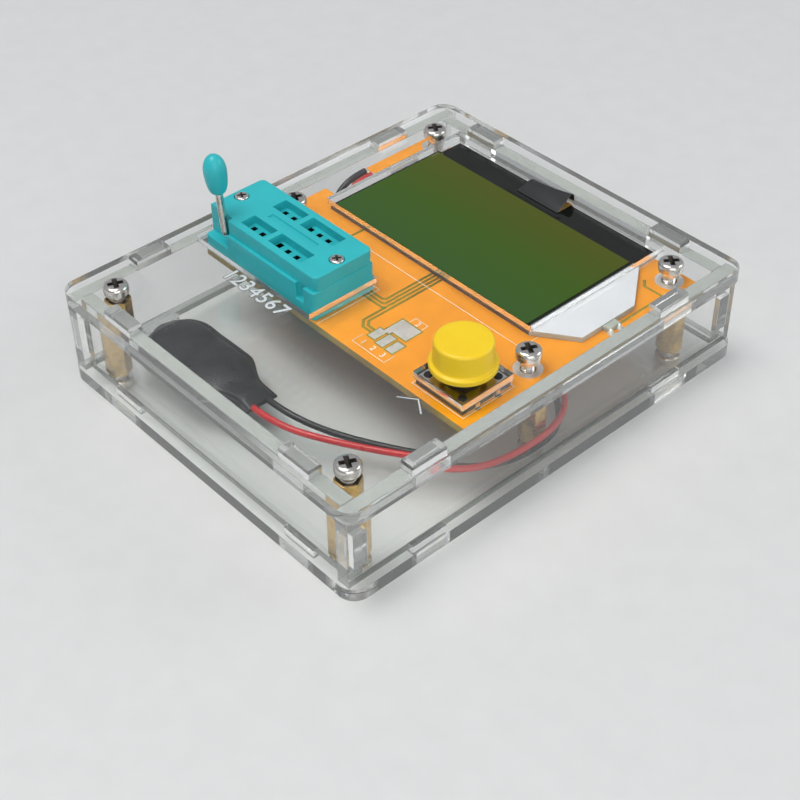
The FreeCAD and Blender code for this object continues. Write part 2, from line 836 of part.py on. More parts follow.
def small_package(label, x, y, length, width, height, leads):
    """Moulded package hanging under the board, with flat leads at offsets along its front and rear sides."""
    span_x = (f"{x} - {length} / 2", f"{x} + {length} / 2")
    span_y = (f"{y} - {width} / 2", f"{y} + {width} / 2")
    pieces = [block(f"{label}_case", span_x, span_y, (f"{BOARD_LOW} - {height}", BOARD_LOW))]
    for number, (offset, side) in enumerate(leads):
        middle = f"({x} + {offset})"
        edge = f"({y} + {side} * {width} / 2)"
        tip = f"({edge} + {side} * lead_reach)"
        across = (edge, tip) if side > 0 else (tip, edge)
        along = (f"{middle} - lead_width / 2", f"{middle} + lead_width / 2")
        rise = (f"{BOARD_LOW} - lead_height", BOARD_LOW)
        pieces.append(block(f"{label}_lead_{number}", along, across, rise))
    return joined(label, pieces)


def microcontroller():
    """Square chip with a row of flat leads on each side."""
    half = "(chip_side / 2)"
    span_x = (f"chip_x - {half}", f"chip_x + {half}")
    span_y = (f"chip_y - {half}", f"chip_y + {half}")
    pieces = [block("chip_case", span_x, span_y, (f"{BOARD_LOW} - chip_height", BOARD_LOW))]
    height = (f"{BOARD_LOW} - chip_lead_height", BOARD_LOW)
    reach = f"({half} + chip_lead_length)"
    for i in CHIP_LEADS:
        place = f"{i - CHIP_LEADS[-1] / 2} * chip_lead_pitch"
        for middle, other, flip in (("chip_x", "chip_y", False), ("chip_y", "chip_x", True)):
            near = f"{middle} + {place} - chip_lead_width / 2"
            along = (near, f"{near} + chip_lead_width")
            across = (f"{other} - {reach}", f"{other} + {reach}")
            x, y = (across, along) if flip else (along, across)
            pieces.append(block(f"chip_lead_{i}_{int(flip)}", x, y, height))
    node(joined("microcontroller", pieces))


def crystal():
    """Crystal can with a flat-sided oval outline and a rim where it meets the board."""
    pieces = []
    straight = "((crystal_length - crystal_width) / 2)"
    length = (f"crystal_x - {straight}", f"crystal_x + {straight}")
    for name, extra, height in (("can", "0", "crystal_height"), ("rim", "crystal_rim", "crystal_rim")):
        width = f"(crystal_width + 2 * {extra})"
        sides = (f"crystal_y - {width} / 2", f"crystal_y + {width} / 2")
        low = f"{BOARD_LOW} - {height}"
        pieces.append(block(f"crystal_{name}", length, sides, (low, BOARD_LOW)))
        for side in BOTH_SIDES:
            end = f"crystal_x + {side} * {straight}"
            pieces.append(rod(f"crystal_{name}_end", end, "crystal_y", low, BOARD_LOW, width))
    node(joined("crystal", pieces))


def board_parts():
    """Chips and small parts on the underside of the board."""
    microcontroller()
    crystal()
    leads = [("-regulator_pitch", -1), ("0", -1), ("regulator_pitch", -1), ("0", 1)]
    sizes = ("regulator_length", "regulator_width", "regulator_height")
    node(small_package("voltage_regulator", "regulator_x", "regulator_y", *sizes, leads))
    sizes = ("transistor_length", "transistor_width", "transistor_height")
    leads = [("-transistor_pitch", -1), ("transistor_pitch", -1), ("0", 1)]
    node(small_package("voltage_reference", "reference_x", "reference_y", *sizes, leads))
    transistor = small_package("transistor", "transistor_x", "transistor_y", *sizes, leads)
    group("switching_transistors", transistor, [(f"{i} * transistor_step", "0", "0") for i in TRANSISTORS])
    rows = (("test_resistors", "resistor", RESISTORS), ("chip_capacitors", "capacitor", CAPACITORS))
    for label, name, row in rows:
        x, y = f"{name}_x", f"{name}_y"
        chip = block(name, (f"{x} - chip_part_length / 2", f"{x} + chip_part_length / 2"),
                     (f"{y} - chip_part_width / 2", f"{y} + chip_part_width / 2"),
                     (f"{BOARD_LOW} - {name}_height", BOARD_LOW))
        group(label, chip, [(f"{i} * {name}_step", "0", "0") for i in row])


def display():
    """Glass display on its light guide, with its driver, flex ribbon, tape and lamp."""
    body = node(new_body("light_guide"))
    left, right = "(glass_left - guide_margin)", "(glass_right + guide_margin)"
    tip = f"({right} + guide_wing_reach)"
    pad(body, "XY", [Polygon([
        (left, "glass_front"), (right, "glass_front"), (tip, "wing_front"), (tip, "wing_rear"),
        (right, "wing_root"), (right, "glass_rear"), (left, "glass_rear"),
    ])], BOARD_TOP, GUIDE_TOP)
    glass = ("glass_left", "glass_right")
    ledge = "(glass_rear - ledge_width)"
    film = [("glass_left + film_margin", "glass_right - film_margin"),
            ("glass_front + film_margin", f"{ledge} - film_margin")]
    depth = ("glass_front", "glass_rear")
    node(block("lcd_rear_polariser", *film, (GUIDE_TOP, REAR_GLASS_LOW)))
    node(block("lcd_rear_glass", glass, depth, (REAR_GLASS_LOW, REAR_GLASS_TOP)))
    node(block("lcd_front_glass", glass, ("glass_front", ledge), (REAR_GLASS_TOP, FRONT_GLASS_TOP)))
    node(block("lcd_front_polariser", *film, (FRONT_GLASS_TOP, SCREEN_TOP)))
    driver_front = f"({ledge} + driver_setback)"
    node(block("lcd_driver_chip", ("flex_x - driver_length / 2", "flex_x + driver_length / 2"),
               (driver_front, f"{driver_front} + driver_width"),
               (REAR_GLASS_TOP, f"{REAR_GLASS_TOP} + driver_height")))
    flex_ribbon()
    flex_top = f"({REAR_GLASS_TOP} + flex_thickness)"
    node(block("lcd_tape", ("flex_x - tape_width / 2", "flex_x + tape_width / 2"),
               ("glass_rear - tape_length", "glass_rear"), (flex_top, f"{flex_top} + tape_thickness")))
    backlight(tip)


def backlight(tip):
    """Lamp against the tip of the light guide, with two pins through the board."""
    length = (f"{LAMP_Y} - lamp_length / 2", f"{LAMP_Y} + lamp_length / 2")
    height = (BOARD_TOP, f"{BOARD_TOP} + lamp_height")
    pieces = [block("lamp_case", (tip, f"{tip} + lamp_depth"), length, height)]
    for x, y in lamp_pins():
        pieces.append(rod("lamp_pin_bar", x, y, PIN_LOW, f"{BOARD_TOP} + lamp_height / 2", "lamp_pin"))
    node(joined("backlight_led", pieces))


def flex_ribbon():
    """Ribbon from the glass ledge, down behind the board and back along its underside."""
    body = node(new_body("lcd_flex"))
    inner_y = "(glass_rear + flex_bend)"
    outer_y = f"({inner_y} + flex_thickness)"
    top, low = f"({REAR_GLASS_TOP} + flex_thickness)", f"({BOARD_LOW} - flex_thickness)"
    start, end = "(glass_rear - flex_overlap)", "(board_rear - flex_tail)"
    pad(body, "YZ", [Polygon([
        (start, REAR_GLASS_TOP), (inner_y, REAR_GLASS_TOP), (inner_y, BOARD_LOW), (end, BOARD_LOW),
        (end, low), (outer_y, low), (outer_y, top), (start, top),
    ])], "flex_x - flex_width / 2", "flex_x + flex_width / 2")
    fillet(body, "flex_bend", across_at(inner_y, (REAR_GLASS_TOP, BOARD_LOW)))
    fillet(body, "flex_bend + flex_thickness", across_at(outer_y, (top, low)))


def pockets_of_row(y):
    """The two pockets of one row, three test points to the left of a divider and four to its right."""
    first, last = contact_places()[0], contact_places()[-1]
    divider = "(contact_x - contact_pitch / 2)"
    across = (f"{y} - pocket_width / 2", f"{y} + pocket_width / 2")
    return [rectangle(f"{first} - pocket_margin", f"{divider} - divider_width / 2", *across),
            rectangle(f"{divider} + divider_width / 2", f"{last} + pocket_margin", *across)]


def small_screw_places():
    """Places of the two screws that hold the cover."""
    middle = "(socket_left + socket_right) / 2"
    return [(f"({middle} + {side} * small_screw_spacing / 2)", "contact_y") for side in BOTH_SIDES]


def lever_bay(body, left, front, low, high):
    """Cuts the corner that the lever's arm swings through."""
    right = "pivot_x + lever_diameter / 2 + lever_room"
    corner = rectangle(f"{left} - lever_room", right, f"{front} - lever_room", LEVER_BAY)
    pocket(body, "XY", [corner], low, high)


def socket_base():
    """Lower half of the socket, with the slider's recess, the shaft's channel and a slot for each contact."""
    body = node(new_body("socket_base"))
    sides, ends = ("socket_left", "socket_right"), ("socket_front", "socket_rear")
    pad(body, "XY", [rectangle(*sides, *ends)], BOARD_TOP, BASE_TOP)
    fillet(body, "socket_corner", upright_at(sides, ends))
    lever_bay(body, "socket_left", "socket_front", PLATFORM, BASE_TOP)
    reach = "(row_spacing / 2 + contact_width / 2 + slider_margin / 2 + slider_fit)"
    run = rectangle(f"{SLIDER_LEFT} - slider_fit", f"{SLIDER_RIGHT} + slider_travel + slider_fit",
                    f"contact_y - {reach}", f"contact_y + {reach}")
    pocket(body, "XY", [run], RECESS_FLOOR, BASE_TOP)
    half = "(lever_diameter / 2 + shaft_fit)"
    shaft_end = "(lever_y + shaft_length + shaft_fit)"
    channel = rectangle(f"pivot_x - {half}", f"pivot_x + {half}", f"{LEVER_BAY} - lever_room", shaft_end)
    pocket(body, "XY", [channel], f"{PIVOT_Z} - {half}", BASE_TOP)
    swing = "(cam_offset + cam_radius + cam_room)"
    cam_well = around(f"(pivot_x + {half} / 2)", "contact_y", f"(2 * {swing} - {half})",
                      "(cam_width + 2 * cam_room)")
    pocket(body, "XY", [cam_well], f"{PIVOT_Z} - {swing}", BASE_TOP)
    slots = [around(x, y, "(contact_thickness + 2 * contact_fit)", "(contact_width + 2 * contact_fit)")
             for y in row_places() for x in contact_places()]
    pocket(body, "XY", slots, BOARD_TOP, RECESS_FLOOR)
    bores = [Circle(x, y, "small_screw_diameter + 2 * thread_fit") for x, y in small_screw_places()]
    pocket(body, "XY", bores, f"{COVER_TOP} - small_head_sink - small_screw_length - thread_fit", BASE_TOP)
    hole_z = f"({BASE_TOP} - side_hole_height / 2)"
    side_hole = around("side_hole_x", hole_z, "side_hole_width", "side_hole_height")
    pocket(body, "XZ", [side_hole], "socket_front", "socket_front + side_hole_depth")


def socket_cover():
    """Cover of the socket, with pockets, slots over the contacts and a shallow recess between the rows."""
    body = node(new_body("socket_cover"))
    left, right = "(socket_left + cover_inset)", "(socket_right - cover_inset)"
    front, rear = "(socket_front + cover_ledge)", "(socket_rear - cover_inset)"
    pad(body, "XY", [rectangle(left, right, front, rear)], BASE_TOP, COVER_TOP)
    fillet(body, "cover_corner", upright_at([left, right], [front, rear]))
    fillet(body, "cover_edge", level_at(COVER_TOP))
    lever_bay(body, left, front, BASE_TOP, COVER_TOP)
    pocket(body, "XY", [loop for y in row_places() for loop in pockets_of_row(y)], POCKET_FLOOR, COVER_TOP)
    slots = [around(x, y, "slot_width", "slot_length") for y in row_places() for x in contact_places()]
    pocket(body, "XY", slots, BASE_TOP, POCKET_FLOOR)
    pocket(body, "XY", [around("contact_x", "contact_y", "recess_length", "recess_breadth")],
           f"{COVER_TOP} - recess_sink", COVER_TOP)
    seat = f"({COVER_TOP} - small_head_sink)"
    heads = [Circle(x, y, "small_head_diameter + 2 * small_head_fit") for x, y in small_screw_places()]
    pocket(body, "XY", heads, seat, COVER_TOP)
    shanks = [Circle(x, y, "small_screw_diameter + 2 * small_head_fit") for x, y in small_screw_places()]
    pocket(body, "XY", shanks, BASE_TOP, seat)
    small = screw("small_screw", "small_screw_length", "small_screw_diameter", "small_head_diameter",
                  "small_head_height", "small_head_rim", "small_head_crown", "small_recess_arm",
                  "small_recess_width", "small_recess_depth")
    group("socket_screws", small, [(x, y, seat) for x, y in small_screw_places()])


def socket_slider():
    """Slotted plate that the cam pushes along the rows to close the contacts."""
    body = node(new_body("socket_slider"))
    reach = "(row_spacing / 2 + contact_width / 2 + slider_margin / 2)"
    slots = []
    for y in row_places():
        half = "(contact_width / 2 + contact_fit)"
        for x in contact_places():
            slots.append(rectangle(f"{x} - slider_slot_back", f"{x} + slider_slot_front",
                                   f"{y} - {half}", f"{y} + {half}"))
    outline = rectangle(SLIDER_LEFT, SLIDER_RIGHT, f"contact_y - {reach}", f"contact_y + {reach}")
    pad(body, "XY", [outline] + slots, SLIDER_LOW, SLIDER_TOP)


def contacts():
    """Flat stamped contacts, one row in front and one behind, with tails through the board."""
    body = new_body("contact")
    half, tail = "contact_width / 2", "contact_tail / 2"
    pad(body, "YZ", [Polygon([
        (f"-{tail}", PIN_LOW), (tail, PIN_LOW), (tail, BOARD_TOP), (half, BOARD_TOP), (half, SLIDER_LOW),
        (tail, SLIDER_TOP), (f"-{tail}", SLIDER_TOP), (f"-{half}", SLIDER_LOW), (f"-{half}", BOARD_TOP),
        (f"-{tail}", BOARD_TOP),
    ])], "-contact_thickness / 2", "contact_thickness / 2")
    for label, y in zip(("front_contacts", "rear_contacts"), row_places()):
        group(label, body, [(x, y, "0") for x in contact_places()])


def lever():
    """Bent wire with a cam on its shaft, and the knob on its arm."""
    pivot = Placement(Vector(value("pivot_x"), value("lever_y"), value(PIVOT_Z)),
                      Rotation(Vector(0, -1, 0), value("lever_lean")))
    bend, length, shaft = value("lever_bend"), value("lever_length"), value("shaft_length")
    inner = bend * (1 - math.sqrt(0.5))
    path = Part.Wire([
        Part.LineSegment(Vector(0, 0, length), Vector(0, 0, bend)).toShape(),
        Part.Arc(Vector(0, 0, bend), Vector(0, inner, inner), Vector(0, bend, 0)).toShape(),
        Part.LineSegment(Vector(0, bend, 0), Vector(0, shaft, 0)).toShape(),
    ])
    bar = DOC.addObject("Part::Feature", "lever_wire")
    bar.Label = "lever_wire"
    bar.Shape = tube(path, value("lever_diameter")).fuse(cam()).removeSplitter()
    bar.Placement = pivot
    node(bar)
    lever_knob().Placement = pivot


def cam():
    """Round lobe beside the lever's shaft and the web that carries it."""
    start = value("contact_y - cam_width / 2 - lever_y")
    width, offset, thickness = value("cam_width"), value("cam_offset"), value("lever_diameter")
    lobe = Part.makeCylinder(value("cam_radius"), width, Vector(0, start, -offset), Vector(0, 1, 0))
    web = Part.makeBox(thickness, width, offset, Vector(-thickness / 2, start, -offset))
    return [lobe, web]


def lever_knob():
    """Round-ended knob pushed over the end of the arm."""
    knob = node(new_body("lever_knob"))
    side, bore = "knob_diameter / 2", "lever_diameter / 2"
    top = "(knob_start + knob_length)"
    revolve(knob, [(bore, "knob_start"), (side, "knob_start"), (side, top), ("0", top),
                   ("0", "lever_length"), (bore, "lever_length")])
    fillet(knob, f"{side} - {bore} - knob_land", level_at("knob_start", value(f"{bore} + knob_land")))
    fillet(knob, f"{side} - knob_land", level_at(top, value(f"{bore} + knob_land")))
    return knob


def switch_parts():
    """Switch housing and metal cover, snap dome, legs, and the plunger with its round cap."""
    housing = node(new_body("switch_housing"))
    pad(housing, "XY", [around("switch_x", "switch_y", "switch_side", "switch_side")], BOARD_TOP, SWITCH_TOP)
    well = "(plunger_flange + 2 * plunger_fit)"
    pocket(housing, "XY", [Circle("switch_x", "switch_y", well)], DOME_LOW, SWITCH_TOP)
    inset = "(switch_side / 2 - rivet_inset)"
    corners = [(f"(switch_x + {a} * {inset})", f"(switch_y + {b} * {inset})")
               for a in BOTH_SIDES for b in BOTH_SIDES]
    for x, y in corners:
        pad(housing, "XY", [Circle(x, y, "rivet_diameter")], SWITCH_TOP, f"{SWITCH_COVER_TOP} + rivet_proud")
    cover = node(new_body("switch_cover"))
    holes = [Circle(x, y, "(rivet_diameter + 2 * rivet_fit)") for x, y in corners]
    holes.append(Circle("switch_x", "switch_y", "(plunger_collar + 2 * plunger_fit)"))
    pad(cover, "XY", [around("switch_x", "switch_y", "switch_cover_side", "switch_cover_side")] + holes,
        SWITCH_TOP, SWITCH_COVER_TOP)
    snap_dome()
    leg = block("switch_leg", ("-leg_thickness / 2", "leg_thickness / 2"),
                ("-leg_width / 2", "leg_width / 2"), (PIN_LOW, f"{BOARD_TOP} + leg_rise"))
    group("switch_legs", leg, [(x, y, "0") for x, y in leg_places()])
    plunger_and_cap()


def snap_dome():
    """Shallow sprung dome on the floor of the switch."""
    dome_radius, rise, thickness = value("dome_diameter / 2"), value("dome_rise"), value("dome_thickness")
    sphere = (dome_radius**2 + rise**2) / (2 * rise)
    middle = Vector(value("switch_x"), value("switch_y"), value(DOME_TOP) - sphere)
    shell = Part.makeSphere(sphere, middle).cut(Part.makeSphere(sphere - thickness, middle))
    keep = Part.makeCylinder(sphere, rise, Vector(middle.x, middle.y, value(DOME_LOW)))
    item = DOC.addObject("Part::Feature", "switch_dome")
    item.Label = "switch_dome"
    item.Shape = shell.common(keep)
    node(item)


def plunger_and_cap():
    """Plunger under the metal cover, and the cap that presses on its square head."""
    plunger = node(new_body("switch_plunger"))
    flange_top = f"{PLUNGER_LOW} + plunger_flange_height"
    rim, collar = "plunger_flange / 2", "plunger_collar / 2"
    revolve(plunger, [("0", PLUNGER_LOW), (rim, PLUNGER_LOW), (rim, flange_top), (collar, flange_top),
                      (collar, COLLAR_TOP), ("0", COLLAR_TOP)])
    pad(plunger, "XY", [around("0", "0", "plunger_square", "plunger_square")], COLLAR_TOP, SQUARE_TOP)
    cap = node(new_body("button_cap"))
    flange = f"{CAP_LOW} + cap_flange_height"
    roof, skirt = f"{CAP_TOP} - cap_roof", "cap_diameter / 2 - cap_wall"
    boss, edge, side = "cap_boss / 2", "cap_flange / 2", "cap_diameter / 2"
    revolve(cap, [("0", CAP_LOW), (boss, CAP_LOW), (boss, roof), (skirt, roof), (skirt, CAP_LOW),
                  (edge, CAP_LOW), (edge, flange), (side, flange), (side, CAP_TOP), ("0", CAP_TOP)])
    fillet(cap, "cap_edge", level_at(CAP_TOP))
    hole = "(plunger_square + 2 * cap_fit)"
    pocket(cap, "XY", [around("0", "0", hole, hole)], CAP_LOW, f"{SQUARE_TOP} + cap_fit")
    for body in (plunger, cap):
        body.Placement = Placement(Vector(value("switch_x"), value("switch_y"), 0), Rotation())


def battery_clip():
    """Soft pad of the battery clip, lying with its stud and its ring downward."""
    pad_body = node(new_body("clip_pad"))
    front, rear = "clip_y - clip_width / 2", "clip_y + clip_width / 2"
    tail_front, tail_rear = "clip_y - clip_tail_width / 2", "clip_y + clip_tail_width / 2"
    pad(pad_body, "XY", [Polygon([
        ("clip_left", front), ("clip_taper_x", front), ("clip_right", tail_front),
        ("clip_right", tail_rear), ("clip_taper_x", rear), ("clip_left", rear),
    ])], CLIP_LOW, CLIP_TOP)
    fillet(pad_body, "clip_width / 2 - clip_land", upright_at(["clip_left"], [front, rear]))
    fillet(pad_body, "clip_edge", level_at(CLIP_TOP))
    low = f"{FLOOR_TOP} + clip_rest"
    stud = node(new_body("snap_stud"))
    head, neck, base = "stud_head / 2", "stud_neck / 2", "stud_base / 2"
    plate_low = f"{CLIP_LOW} - stud_flange"
    revolve(stud, [("0", low), (f"{head} - stud_flange", low), (head, f"{low} + stud_flange"),
                   (neck, f"{plate_low} - stud_flange"), (neck, plate_low), (base, plate_low),
                   (base, CLIP_LOW), ("0", CLIP_LOW)])
    ring = node(new_body("snap_ring"))
    bore = "socket_ring / 2 - socket_ring_wall"
    revolve(ring, [(bore, low), ("socket_ring / 2", low), ("socket_ring / 2", CLIP_LOW), ("0", CLIP_LOW),
                   ("0", f"{CLIP_LOW} - socket_ring_wall"), (bore, f"{CLIP_LOW} - socket_ring_wall")])
    for side, body in zip(BOTH_SIDES, (stud, ring)):
        x = value(f"snap_x + {side} * snap_spacing / 2")
        body.Placement = Placement(Vector(x, value("clip_y"), 0), Rotation())


@dataclass
class Route:
    """Corners of a lead, from the clip's end, then round the inside of the case, then from the board's notch.

    Those inside the case are shares of its half width and half length, with a height over the bottom plate.
    """

    at_clip: list
    inside: list
    at_notch: list

    def corners(self):
        """Points of the whole route."""
        floor = value(FLOOR_TOP)
        clip = Vector(value("clip_right"), value("clip_y"), floor)
        notch = Vector(value("board_left"), value("notch_rear"), value(BOARD_TOP))
        half_width, half_length = value("side_inner"), value("end_inner")
        points = [clip + Vector(*offset) for offset in self.at_clip]
        points += [Vector(x * half_width, y * half_length, floor + rise) for x, y, rise in self.inside]
        return points + [notch + Vector(*offset) for offset in self.at_notch]


RED_ROUTE = Route(
    [(0.0, -2.1, 3.6), (6.6, -2.1, 3.6)],
    [(0.383, -0.676, 2.8), (0.674, -0.519, 2.6), (0.900, -0.371, 2.6), (0.970, -0.161, 2.8),
     (0.965, 0.063, 2.8), (0.857, 0.233, 2.6), (0.609, 0.345, 2.4), (0.270, 0.380, 2.6),
     (-0.108, 0.358, 2.6), (-0.458, 0.273, 2.4), (-0.712, 0.166, 2.8)],
    [(4.1, -9.8, -8.2), (3.3, -5.4, -3.2), (3.5, -2.0, 0.7), (3.5, 2.8, 0.7)],
)
BLACK_ROUTE = Route(
    [(0.0, 1.3, 3.6), (5.8, 1.3, 3.6)],
    [(0.340, -0.617, 1.6), (0.636, -0.465, 0.9), (0.863, -0.322, 0.8), (0.965, -0.130, 0.8),
     (0.954, 0.081, 0.8), (0.819, 0.224, 0.8), (0.588, 0.304, 0.9), (0.259, 0.327, 0.8),
     (-0.124, 0.295, 0.9), (-0.474, 0.206, 0.8), (-0.749, 0.110, 1.4)],
    [(2.1, -11.6, -9.0), (1.2, -5.8, -3.4), (1.5, -2.0, 0.7), (1.5, 2.8, 0.7)],
)


def leads():
    """Red and black leads from the clip to the board, each with the solder that holds its end."""
    solder = []
    for label, route in (("red_wire", RED_ROUTE), ("black_wire", BLACK_ROUTE)):
        corners = route.corners()
        path, radii = rounded_path(corners)
        print(label, "length", round(path.Length, 1), "radii", [round(radius, 1) for radius in radii])
        item = DOC.addObject("Part::Feature", label)
        item.Label = label
        item.Shape = tube(path, value("lead_diameter"))
        node(item)
        end = Vector(corners[-1].x, corners[-1].y, value(BOARD_TOP))
        solder.append(Part.makeSphere(value("solder_radius"), end, Vector(0, 0, 1), 0, 90, 180))
    item = DOC.addObject("Part::Feature", "lead_solder")
    item.Label = "lead_solder"
    item.Shape = Part.makeCompound(solder)
    node(item)


def export():
    """Confirms that every object and every sub-part is sound, then writes one file for each sub-part."""
    DOC.recompute()
    for item in DOC.Objects:
        if {"Invalid", "Error"} & set(item.State):
            raise RuntimeError(f"{item.Label} failed")
    for item in NODES:
        if item.Shape.isNull() or not item.Shape.isValid():
            raise RuntimeError(f"{item.Label} has no sound shape")
    os.makedirs("parts", exist_ok=True)
    for item in NODES:
        item.Shape.exportStep(f"parts/{item.Label}.step")
    print(len(NODES), "sub-parts")


def main():
    """Builds the tester from the case inward."""
    fill_sheet()
    plates()
    walls()
    fasteners()
    circuit_board()
    board_parts()
    display()
    socket_base()
    socket_cover()
    socket_slider()
    contacts()
    lever()
    switch_parts()
    battery_clip()
    leads()
    export()


main()
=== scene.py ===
"""Dressed scene of a component tester in a clear sheet case.

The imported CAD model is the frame: every piece made here stands where its CAD node stands and rides on the
same body.  Sizes in the classes are millimetres, and every mesh is in metres.
"""
import json
import logging
import math
from dataclasses import dataclass, field
from enum import Enum
from typing import Callable, Iterable, Sequence

import bpy
from mathutils import Matrix, Vector

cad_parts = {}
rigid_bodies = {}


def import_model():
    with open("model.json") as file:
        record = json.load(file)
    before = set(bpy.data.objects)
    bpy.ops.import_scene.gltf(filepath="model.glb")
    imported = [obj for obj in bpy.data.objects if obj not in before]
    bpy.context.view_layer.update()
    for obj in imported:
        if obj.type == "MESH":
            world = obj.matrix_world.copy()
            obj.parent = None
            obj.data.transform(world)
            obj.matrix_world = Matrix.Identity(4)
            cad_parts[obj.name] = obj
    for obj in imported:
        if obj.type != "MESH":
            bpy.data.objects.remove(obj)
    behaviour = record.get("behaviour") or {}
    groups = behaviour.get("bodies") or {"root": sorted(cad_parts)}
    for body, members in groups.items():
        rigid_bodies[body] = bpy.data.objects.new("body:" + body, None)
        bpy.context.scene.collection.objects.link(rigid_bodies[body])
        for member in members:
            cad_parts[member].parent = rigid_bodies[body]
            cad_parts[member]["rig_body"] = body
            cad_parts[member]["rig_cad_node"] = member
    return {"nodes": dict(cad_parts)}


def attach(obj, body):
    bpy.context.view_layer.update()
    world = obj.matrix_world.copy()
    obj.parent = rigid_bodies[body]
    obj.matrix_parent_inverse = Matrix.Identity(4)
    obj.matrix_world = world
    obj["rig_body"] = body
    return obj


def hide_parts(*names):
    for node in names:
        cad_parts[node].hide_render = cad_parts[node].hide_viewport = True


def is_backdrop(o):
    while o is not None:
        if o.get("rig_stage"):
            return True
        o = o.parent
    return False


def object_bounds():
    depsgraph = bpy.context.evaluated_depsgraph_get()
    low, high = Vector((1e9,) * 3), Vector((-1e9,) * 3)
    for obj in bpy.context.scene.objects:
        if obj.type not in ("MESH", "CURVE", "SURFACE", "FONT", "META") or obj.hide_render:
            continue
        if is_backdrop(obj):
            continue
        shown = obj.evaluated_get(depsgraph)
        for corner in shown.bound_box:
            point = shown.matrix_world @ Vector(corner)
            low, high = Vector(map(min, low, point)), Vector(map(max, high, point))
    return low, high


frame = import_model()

log = logging.getLogger("component_tester")

Piece = bpy.types.Object
NodeSocket = bpy.types.NodeSocket
Pair = tuple[float, float]
Place = tuple[float, float, float]
Colour = tuple[float, float, float]
Line = Sequence[Pair]
FaceTest = Callable[[Vector, Vector], bool]

MM = 0.001
# Points nearer than this many metres are one point.
MERGE_REACH = 1e-6
# Faces that turn less than this lie in one plane.
FLAT_ANGLE = math.radians(0.2)
# Edges that turn more than this are bevelled.
SHARP_ANGLE = math.radians(38)
# Height of a digit as a share of its type size.
DIGIT_SHARE = 0.7
# Most of a noise lies between these values.
NOISE_LOW, NOISE_HIGH = 0.25, 0.75
# Period of the wave pattern at a scale of 1.
WAVE_PERIOD = 0.314

# Upper face of the case's lid.
LID_TOP = 22.6
# Contacts of the test socket, by row and by place along it.
SOCKET_MIDDLE = -18.4
SOCKET_PITCH = 2.54
SOCKET_ROWS = (-15.11, -7.49)
CONTACTS = [(SOCKET_MIDDLE + SOCKET_PITCH * i, y) for y in SOCKET_ROWS for i in range(-3, 4)]


class Body(Enum):
    """Bodies of the frame that new pieces ride on."""

    CASE = "case"
    LEVER = "lever"
    BUTTON = "button"


class Sheet(Enum):
    """Axis across the thickness of a clear sheet."""

    PLATE = 2
    SIDE = 0
    END = 1


def deselect() -> None:
    """Leaves edit mode and deselects every object."""
    if bpy.context.object and bpy.context.object.mode != "OBJECT":
        bpy.ops.object.mode_set(mode="OBJECT")
    bpy.ops.object.select_all(action="DESELECT")


def activate(obj: Piece) -> None:
    """Makes one object the only selected and active one.

    Args:
        obj: Object to select.
    """
    deselect()
    obj.select_set(True)
    bpy.context.view_layer.objects.active = obj


def edit(obj: Piece, test: FaceTest | None = None) -> None:
    """Enters edit mode with chosen faces selected, or with everything.

    Args:
        obj: Mesh object to edit.
        test: Accepts a face by its centre and normal.
    """
    activate(obj)
    bpy.context.tool_settings.mesh_select_mode = (False, False, True)
    bpy.ops.object.mode_set(mode="EDIT")
    bpy.ops.mesh.select_all(action="DESELECT" if test else "SELECT")
    if test:
        done()
        for face in obj.data.polygons:
            face.select = test(face.center, face.normal)
        bpy.ops.object.mode_set(mode="EDIT")


def done() -> None:
    """Leaves edit mode."""
    bpy.ops.object.mode_set(mode="OBJECT")


def modify(obj: Piece, kind: str, **settings: object) -> None:
    """Adds a modifier with its settings and applies it.

    Args:
        obj: Object that takes the modifier.
        kind: Modifier type.
        settings: Values of the modifier's own properties.
    """
    activate(obj)
    modifier = obj.modifiers.new(kind.lower(), kind)
    for key, value in settings.items():
        setattr(modifier, key, value)
    bpy.ops.object.modifier_apply(modifier=modifier.name)


def apply_place(obj: Piece) -> None:
    """Moves an object's place, turn and scale into its mesh."""
    activate(obj)
    bpy.ops.object.transform_apply(location=True, rotation=True, scale=True)


def clean(obj: Piece) -> None:
    """Merges doubled points and turns every face outwards.

    Args:
        obj: Mesh object to clean.
    """
    edit(obj)
    bpy.ops.mesh.remove_doubles(threshold=MERGE_REACH)
    bpy.ops.mesh.normals_make_consistent(inside=False)
    done()


def round_edges(obj: Piece, width: float, segments: int = 2) -> None:
    """Bevels the sharp edges of a piece.

    Args:
        obj: Piece to bevel.
        width: Width in millimetres.
        segments: Faces across the bevel.
    """
    modify(obj, "BEVEL", width=width * MM, segments=segments, limit_method="ANGLE", angle_limit=SHARP_ANGLE,
           use_clamp_overlap=False)


def smooth(obj: Piece, angle: float = 35.0) -> None:
    """Shades a piece smooth up to an angle, its broad faces staying flat.

    Args:
        obj: Piece to shade.
        angle: Angle in degrees.
    """
    activate(obj)
    bpy.ops.object.shade_smooth_by_angle(angle=math.radians(angle))
    modify(obj, "WEIGHTED_NORMAL", keep_sharp=True)


def at(x: float, y: float, z: float = 0.0) -> Matrix:
    """Matrix of a place in millimetres."""
    return Matrix.Translation(Vector((x, y, z)) * MM)


def linked(name: str, data: bpy.types.ID) -> Piece:
    """New active object of the scene that shows a mesh or a curve.

    Args:
        name: Name of the object.
        data: Its mesh or curve.

    Returns:
        The object.
    """
    obj = bpy.data.objects.new(name, data)
    bpy.context.scene.collection.objects.link(obj)
    activate(obj)
    return obj


